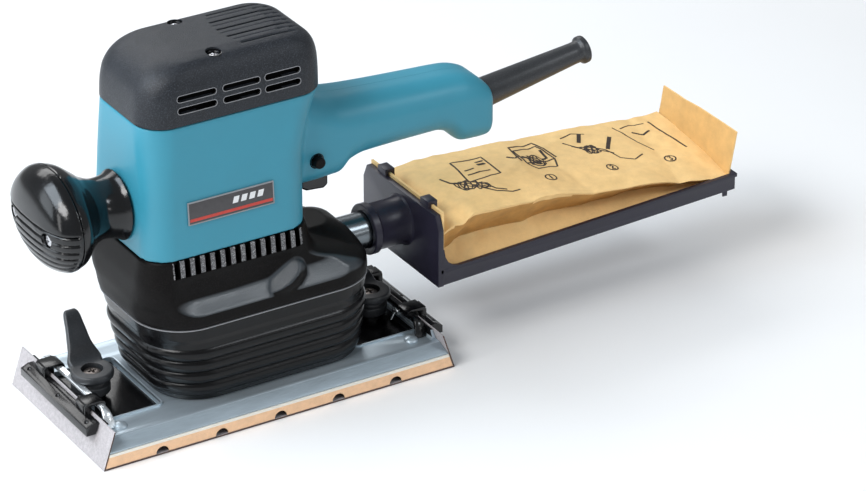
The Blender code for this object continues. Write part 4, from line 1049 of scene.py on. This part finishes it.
def build_holder():
    """Face plate with a collar for the nozzle, a shallow rising tray and its corner gussets."""
    half = HOLDER_HALF
    face = [(half, 45.6), (half, 82.0), (half - 4, 90.5), (4 - half, 90.5), (-half, 82.0), (-half, 45.6)]
    holder = raw(prism(face, (112.5, 116.0), "x"))

    def tray(ends, inset, low, high):
        h = half - inset
        return loft([[(x, y, z + lift(x)) for y, z in ((-h, low), (h, low), (h, high), (-h, high))]
                     for x in ends])

    union(holder, tray((114.5, 321.2), 0.9, 45.6, 56.1), tray((114.6, 322.0), 0.0, 53.9, 56.1))
    merge(holder, tray((116.0, 319.8), 2.6, 47.6, 66))
    union(holder, boxes(((114, -28.5, 88), (120.2, -19.5, 94.5)), ((114, 19.5, 88), (120.2, 28.5, 94.5))))
    merge(holder, boxes(((116.0, -60, 80), (118.4, 60, 92.6))))
    corner = [(114.5, 54.0), (114.5, 69.0), (116.6, 69.0), (117.4, 64.0), (119.4, 60.2), (122.6, 57.8),
              (128.0, 56.4), (128.0, 54.0)]
    for side in (-1, 1):
        union(holder, prism(corner, (side * 40.6, side * 42.4), "y"))
    applied(bevelled(holder, 0.5, 2, 30))
    collar = [(11.3, 0.3), (11.8, 0), (14.9, 0), (15.4, 0.5), (15.4, 4.3), (15.0, 4.8), (14.3, 5.2),
              (14.0, 5.8), (14.0, 22.0), (14.6, 24.4), (16.4, 25.8), (17.4, 25.6), (17.4, 26.0), (11.3, 26.0)]
    union(holder, turned((87.2, 0, NOZZLE_Z), (1, 0, 0), collar, 80))
    merge(holder, cylinder((80, 0, NOZZLE_Z), (121, 0, NOZZLE_Z), 11.3, 64))
    nib = ((-41.4, 46.5), (-39.9, 46.5), (-40.4, 42.4), (-41.2, 42.4))
    union(holder, prism([(y, z + lift(316)) for y, z in nib], (313.0, 316.0), "x"))
    piece(holder, "bag_holder_frame", NAVY, "dust_gear", ["bag_holder"])
    paint_node("bag_card", KRAFT)


def crease(x, y, x0, y0, angle, sharp, height):
    """A straight fold line: a ridge that fades away from its line."""
    a = math.radians(angle)
    d = (x - x0) * math.sin(a) - (y - y0) * math.cos(a)
    return height * math.exp(-abs(d) / sharp)


def paper(x, y, z, size=18.0):
    """Broad soft buckles plus fine crumple, in millimetres."""
    p = Vector((x, y, z))
    soft = noise.noise(p / size)
    ridge = 1 - abs(noise.noise(p / (size * 0.55) + Vector((7, 3, 1)))) * 2
    return 0.9 * soft + 0.35 * ridge


BAG_START, BAG_END = 118.2, 318.8
TOP_ROWS = ((BAG_START, 74.5), (124.0, 79.5), (132.0, 84.0), (142.0, 85.0), (160.0, 84.2), (180.0, 81.6),
            (205.0, 79.4), (230.0, 76.0), (255.0, 72.0), (280.0, 67.6), (300.0, 63.6), (312.0, 61.0),
            (BAG_END, 60.0))
# across the top: where the line starts, its angle, how sharp it is and how high it stands
CREASES = ((196, 0, 78, 9, 1.6), (218, 0, 96, 12, -2.0), (150, -20, 28, 6, 1.1), (262, -25, 12, 7, 1.4),
           (290, 0, 80, 8, -1.3))
SPAN = 40


def top_line(x):
    """Height of the bag's upper sheet along its length."""
    rows = np.array(TOP_ROWS)
    return float(pchip(rows[:, 0], rows[:, 1], np.array([x]))[0])


def bag_top(x, y):
    """Height of the upper sheet of the bag."""
    across = y / 38.0
    z = top_line(x) + 1.8 * (1 - across * across)
    climb = float(np.interp(x, (150, 200, 240, 280, 306, 319), (0, 1.5, 4.0, 7.5, 10.5, 13.0)))
    z += climb * (0.15 + 0.85 * (0.5 + 0.5 * across))
    z -= 4.2 * math.exp(-((x - 131.5) / 4.2) ** 2) * max(0.0, -across - 0.3) / 0.7
    grow = clamped((x - 120) / 14) * clamped((320 - x) / 10)
    z += grow * 1.3 * paper(x, y, 0, 24)
    return z + grow * sum(crease(x, y, *line) for line in CREASES)


def bag_section(x):
    """Ring of the paper bag: upper sheet, far gusset, floor, near gusset."""
    t = (x - BAG_START) / (BAG_END - BAG_START)
    floor = 47.9 + lift(x)
    ends = clamped((x - BAG_START) / 16.0) * clamped((BAG_END - x) / 60.0)
    half = 35.5 + 3.8 * min(1.0, (x - BAG_START) / 10.0)
    deep = 1.0 + 14.0 * ends ** 0.6
    across = [-half + 2 * half * k / SPAN for k in range(SPAN + 1)]
    ring = [(x, y, bag_top(x, y)) for y in across]
    for side, first, last in ((1, bag_top(x, half), floor + 1.2), (-1, floor + 1.2, bag_top(x, -half))):
        for k in range(1, 15):
            s = k / 15
            z = first + (last - first) * s
            u = s if side > 0 else 1 - s
            pull = deep * (u / 0.6 if u < 0.6 else (1 - u) / 0.4)
            edge = half + 1.0 * u * min(1.0, 4 * t)
            crumple = (1.3 * paper(x, side * 40, z, 16) + crease(x, z, 150, 62, 40, 5, 2.2)
                       - crease(x, z, 185, 60, 150, 7, 2.0))
            y = side * (edge - pull) + min(1.0, 4 * u) * crumple
            ring.append((x, max(-39.6, min(39.6, y)), z))
        if side > 0:
            for k in range(SPAN + 1):
                y = half - 2 * half * k / SPAN
                sag = 0.5 * paper(x, y, 30, 22)
                ring.append((x, y * 39.4 / half if abs(y) == half else y, floor + 0.6 + max(-0.4, sag * 0.5)))
    return ring


def build_bag():
    stations = np.concatenate([np.arange(BAG_START, 300, 1.6), np.arange(300, BAG_END, 1.2), [BAG_END]])
    bag = eased(raw(loft([bag_section(float(x)) for x in stations])), 1)
    # the tail folded up against the end of the tray, creased down one third
    panel = []
    for k in range(13):
        z = 58.5 + (91.0 - 58.5) * k / 12
        lean = 316.0 + 5.6 * (k / 12)
        ring = []
        for side, order in ((0, range(25)), (1, range(24, -1, -1))):
            for j in order:
                y = -38.0 + 76.0 * j / 24
                bend = 0.9 * abs(y - 14.0) / 24.0 - 0.4 * math.exp(-((y - 14.0) / 3.0) ** 2)
                wave = 0.35 * paper(lean, y, z, 20)
                ring.append((lean + bend + wave + 0.9 * side, y, z - 1.2 * abs(y) / 38.0 * (k / 12)))
        panel.append(ring)
    tail = raw(loft(panel))
    joined = to_bmesh(bag.data)
    joined.from_mesh(tail.data)
    bpy.data.objects.remove(tail)
    bpy.data.objects.remove(bag)
    bag = piece(joined, "paper_bag", KRAFT, "dust_gear", ["dust_bag"], angle=75)
    # Painted shade: down-facing gusset faces and the tail panel take darker kraft.
    repaint(bag, (FOLD_SHADE, lambda x, y, z, normal: abs(y) > 20 and x < 312 and z < top_line(x) - 1.5
                  and normal.z < 0.05),
            (TAIL_SHADE, lambda x, y, z, normal: x > 312 and z > 62 and abs(normal.x) > 0.5))


def ribbon(bm, points, width=0.75):
    """A printed line on the upper sheet: a thin strip that follows the paper."""
    path = [Vector(p) for p in points]
    fine = []
    for a, b in zip(path, path[1:]):
        n = max(1, int((b - a).length / 1.5))
        fine += [a.lerp(b, k / n) for k in range(n)]
    fine.append(path[-1])
    rings = []
    for i, p in enumerate(fine):
        along = (fine[min(i + 1, len(fine) - 1)] - fine[max(i - 1, 0)])
        side = Vector((-along.y, along.x)).normalized() * width * 0.68
        edges = [(p + side * s, h) for s, h in ((1, 0.02), (-1, 0.02), (-1, 0.16), (1, 0.16))]
        rings.append([(q.x, q.y, bag_top(q.x, q.y) + h) for q, h in edges])
    loft(rings, bm=bm)


def arc(cx, cy, r, a0, a1, n=20, squash=1.0):
    return [(cx + r * math.cos(math.radians(a0 + (a1 - a0) * k / n)),
             cy + r * squash * math.sin(math.radians(a0 + (a1 - a0) * k / n))) for k in range(n + 1)]


def scribble(x, y, wide, high, phase, loops):
    """A looping scrawl, as one printed line."""
    return x, y, 0.55, [(wide * math.sin(0.37 * k + phase) * (0.7 + 0.3 * math.sin(0.11 * k)),
                         high * math.sin(0.53 * k + 2 * phase)) for k in range(loops * 12)]


# each printed line: where it starts along and across the bag, how wide it is, and its points from there
PRINT = (
    # the bag lifted out by hand
    (156, -6, 0.75, [(0, 0), (24, 3), (26, 22), (3, 20), (0, 0)]),
    (156, -6, 0.75, [(4, 6), (21, 8)]),
    (156, -6, 0.75, [(5, 10), (12, 11)]),
    (156, -6, 1.6, [(17, 14), (23, 15)]),
    (156, -6, 1.2, [(18, 17), (24, 18)]),
    (156, -14, 0.8, [(-14, 14), (-11, 9), (-7, 7), (-2, 8), (3, 5), (6, 1), (10, -4), (16, -6)]),
    (156, -10, 0.9, [(-2, 4), (-6, 0), (-2, -3), (3, -1), (4, 3)]),
    (156, -10, 0.7, [(2, -4), (9, -9), (18, -11), (24, -10)]),
    scribble(152, -8, 5.5, 4.0, 0.4, 4),
    scribble(160, -13, 4.5, 3.0, 1.3, 3),
    # the card in its slot
    (201, 2, 0.75, [(0, 0), (2, 14), (20, 17), (22, 3), (0, 0)]),
    (201, 2, 0.75, [(0, 0), (3, -6), (18, -4), (22, 3)]),
    (201, 2, 0.9, arc(8, 1, 4.2, 0, 360)),
    (201, 2, 0.6, arc(8, 1, 2.2, 0, 360)),
    (201, 2, 1.2, [(14, 4), (18, 5), (19, 12)]),
    (201, 2, 0.9, [(-6, 10), (-3, 6), (0, 8), (3, 5)]),
    scribble(209, 6, 6.0, 4.5, 2.1, 4),
    (201, 2, 0.8, [(-2, 2), (2, 18), (21, 21), (24, 4)]),
    # folding the tail
    (238, 2, 0.6, [(0, 14), (6, 8), (14, 6), (20, 2), (24, -6), (32, -9), (40, -6)]),
    (238, 2, 1.8, [(10, 12), (17, 20)]),
    (238, 2, 1.8, [(22, 2), (32, 12)]),
    (238, 2, 0.9, arc(13, 4, 3.4, 20, 300)),
    (238, 2, 0.6, [(2, 18), (12, 21), (20, 19)]),
    scribble(250, 8, 5.0, 3.5, 0.9, 4),
    (238, 2, 0.6, [(3, 10), (9, 5), (16, 3), (23, -2)]),
    # the finished fold
    (280, 6, 0.6, [(0, 18), (4, 2), (9, -6)]),
    (280, 6, 0.8, [(26, 18), (27, 4), (31, -8)]),
    (280, 6, 0.6, [(4, 16), (12, 18), (22, 17)]),
    (280, 6, 1.0, [(8, 11), (14, 8), (20, 10)]),
    # round numbers
    (205, -18, 0.6, arc(0, 0, 3.4, 0, 360, 28, 0.75)),
    (205, -18, 0.7, [(0, -1.6), (0, 1.6)]),
    (249, -17, 0.6, arc(0, 0, 3.4, 0, 360, 28, 0.75)),
    (249, -17, 0.7, [(-1, 1), (0.2, 1.7), (1, 0.8), (-1, -1.5), (1.1, -1.5)]),
    (292, -15, 0.6, arc(0, 0, 3.4, 0, 360, 28, 0.75)),
    (292, -15, 0.7, [(-1, 1.5), (1, 1.5), (0, 0.3), (1, -0.7), (0, -1.6), (-1, -1.2)]),
)


def build_print():
    """Generic steps for emptying the bag, drawn in plain lines."""
    bm = bmesh.new()
    for x0, y0, width, points in PRINT:
        ribbon(bm, [(x0 + x, y0 + 1.35 * y) for x, y in points], width)
    piece(bm, "bag_print", INK, "dust_gear", ())


# ---------------------------------------------------------------- hidden and small pieces

def build_brush_springs():
    """Round-wire coils behind the brushes, built at one fixed length."""
    coils, radius, wire = 3, 2.5, 0.45
    turns = np.linspace(0, 2 * math.pi * coils, 97)
    for word, side in (("near", -1), ("far", 1)):
        path = [Vector((MOTOR_X + radius * math.cos(turn), side * (25.4 + 5.8 * turn / turns[-1]),
                        172 + radius * math.sin(turn))) for turn in turns]
        rings = []
        for i, point in enumerate(path):
            along = (path[min(i + 1, len(path) - 1)] - path[max(i - 1, 0)]).normalized()
            across = along.cross(Vector((0, 1, 0))).normalized()
            other = along.cross(across)
            rings.append([point + (across * math.cos(a) + other * math.sin(a)) * wire
                          for a in np.linspace(0, 2 * math.pi, 12, endpoint=False)])
        name = f"brush_spring_{word}"
        spring = piece(loft(rings), name + "_coil", ZINC, "housing", [name], angle=60)
        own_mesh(spring)


REST = {
    "black_plastic": CASING, "black_rubber": RUBBER, "core_steel": CORE, "copper": COPPER, "brass": BRASS,
    "carbon": CARBON, "fan_nylon": NYLON, "zinc_steel": ZINC, "dark_grey_plastic": COVER,
}


def paint_rest():
    """Every CAD node still shown takes the finish of its material slot."""
    slots = {name: entry["slot"] for entry in frame["record"].get("materials", [])
             for name in entry.get("nodes", [])}
    for name, thing in NODES.items():
        if thing.hide_render or name in PAINTED:
            continue
        slot = slots.get(name, "")
        thing.data.materials.clear()
        thing.data.materials.append(REST.get(slot, bpy.data.materials.get(slot) or CASING))


# ---------------------------------------------------------------- camera, floor and light

def aim(thing, place, target):
    thing.location = place
    thing.rotation_mode = "QUATERNION"
    thing.rotation_quaternion = (Vector(target) - Vector(place)).to_track_quat("-Z", "Y")


def area_light(name, place, target, size, power, colour=(1, 1, 1)):
    data = bpy.data.lights.new(name, "AREA")
    data.shape = "RECTANGLE"
    data.size, data.size_y = size
    data.energy = power
    data.color = colour
    lamp = bpy.data.objects.new(name, data)
    bpy.context.scene.collection.objects.link(lamp)
    aim(lamp, place, target)


def build_stage():
    scene = bpy.context.scene
    bm = bmesh.new()
    bmesh.ops.create_grid(bm, x_segments=1, y_segments=1, size=6.0)
    floor = bpy.data.objects.new("floor", to_mesh(bm, "floor"))
    floor.location = (0, 0, -0.0003)
    scene.collection.objects.link(floor)
    floor.data.materials.append(finish("floor_white", (0.93, 0.93, 0.93), 0.7, mottle=0.01, mottle_size=300))

    world = bpy.data.worlds.new("studio")
    world.use_nodes = True
    sky = world.node_tree.nodes["Background"].inputs
    sky["Color"].default_value = (0.94, 0.97, 1.0, 1.0)
    sky["Strength"].default_value = 0.32
    scene.world = world
    middle = (0.05, 0.0, 0.09)
    area_light("key", (-1.20, -0.45, 1.40), middle, (0.8, 0.6), 18)
    area_light("low_right", (0.85, -1.40, 0.55), middle, (0.5, 0.16), 0.9)
    area_light("ledge_glow", (0.79, -0.96, 1.13), middle, (0.45, 0.30), 4.2, (0.90, 0.95, 1.0))
    area_light("back", (0.1, 1.3, 1.1), middle, (1.4, 0.5), 8)
    area_light("top_glow", (-0.95, 0.36, 1.22), (-0.05, 0, 0.13), (0.9, 0.7), 14, (0.80, 0.90, 1.0))
    area_light("knob_glow", (-1.41, 0.67, 0.60), (-0.1, 0, 0.13), (0.7, 0.8), 5, (0.85, 0.93, 1.0))
    area_light("front_strip", (-1.3, -0.2, 0.45), (-0.05, 0, 0.1), (0.25, 0.7), 2.0)

    camera = bpy.data.objects.new("camera", bpy.data.cameras.new("camera"))
    scene.collection.objects.link(camera)
    camera.data.lens = 176.9
    camera.data.sensor_width = 36.0
    camera.data.clip_start, camera.data.clip_end = 0.05, 30.0
    aim(camera, (-1.0153, -1.8913, 1.2150), (0.1165, -0.0298, 0.0664))
    scene.camera = camera
    scene.view_settings.view_transform = "Standard"


build_housing()
build_top_cover()
build_lower_housing()
build_skirt()
build_knob()
build_nameplate()
build_cord_guard()
build_controls()
build_base()
build_clamps()
build_nozzle()
build_holder()
build_bag()
build_print()
build_brush_springs()
paint_rest()
build_stage()
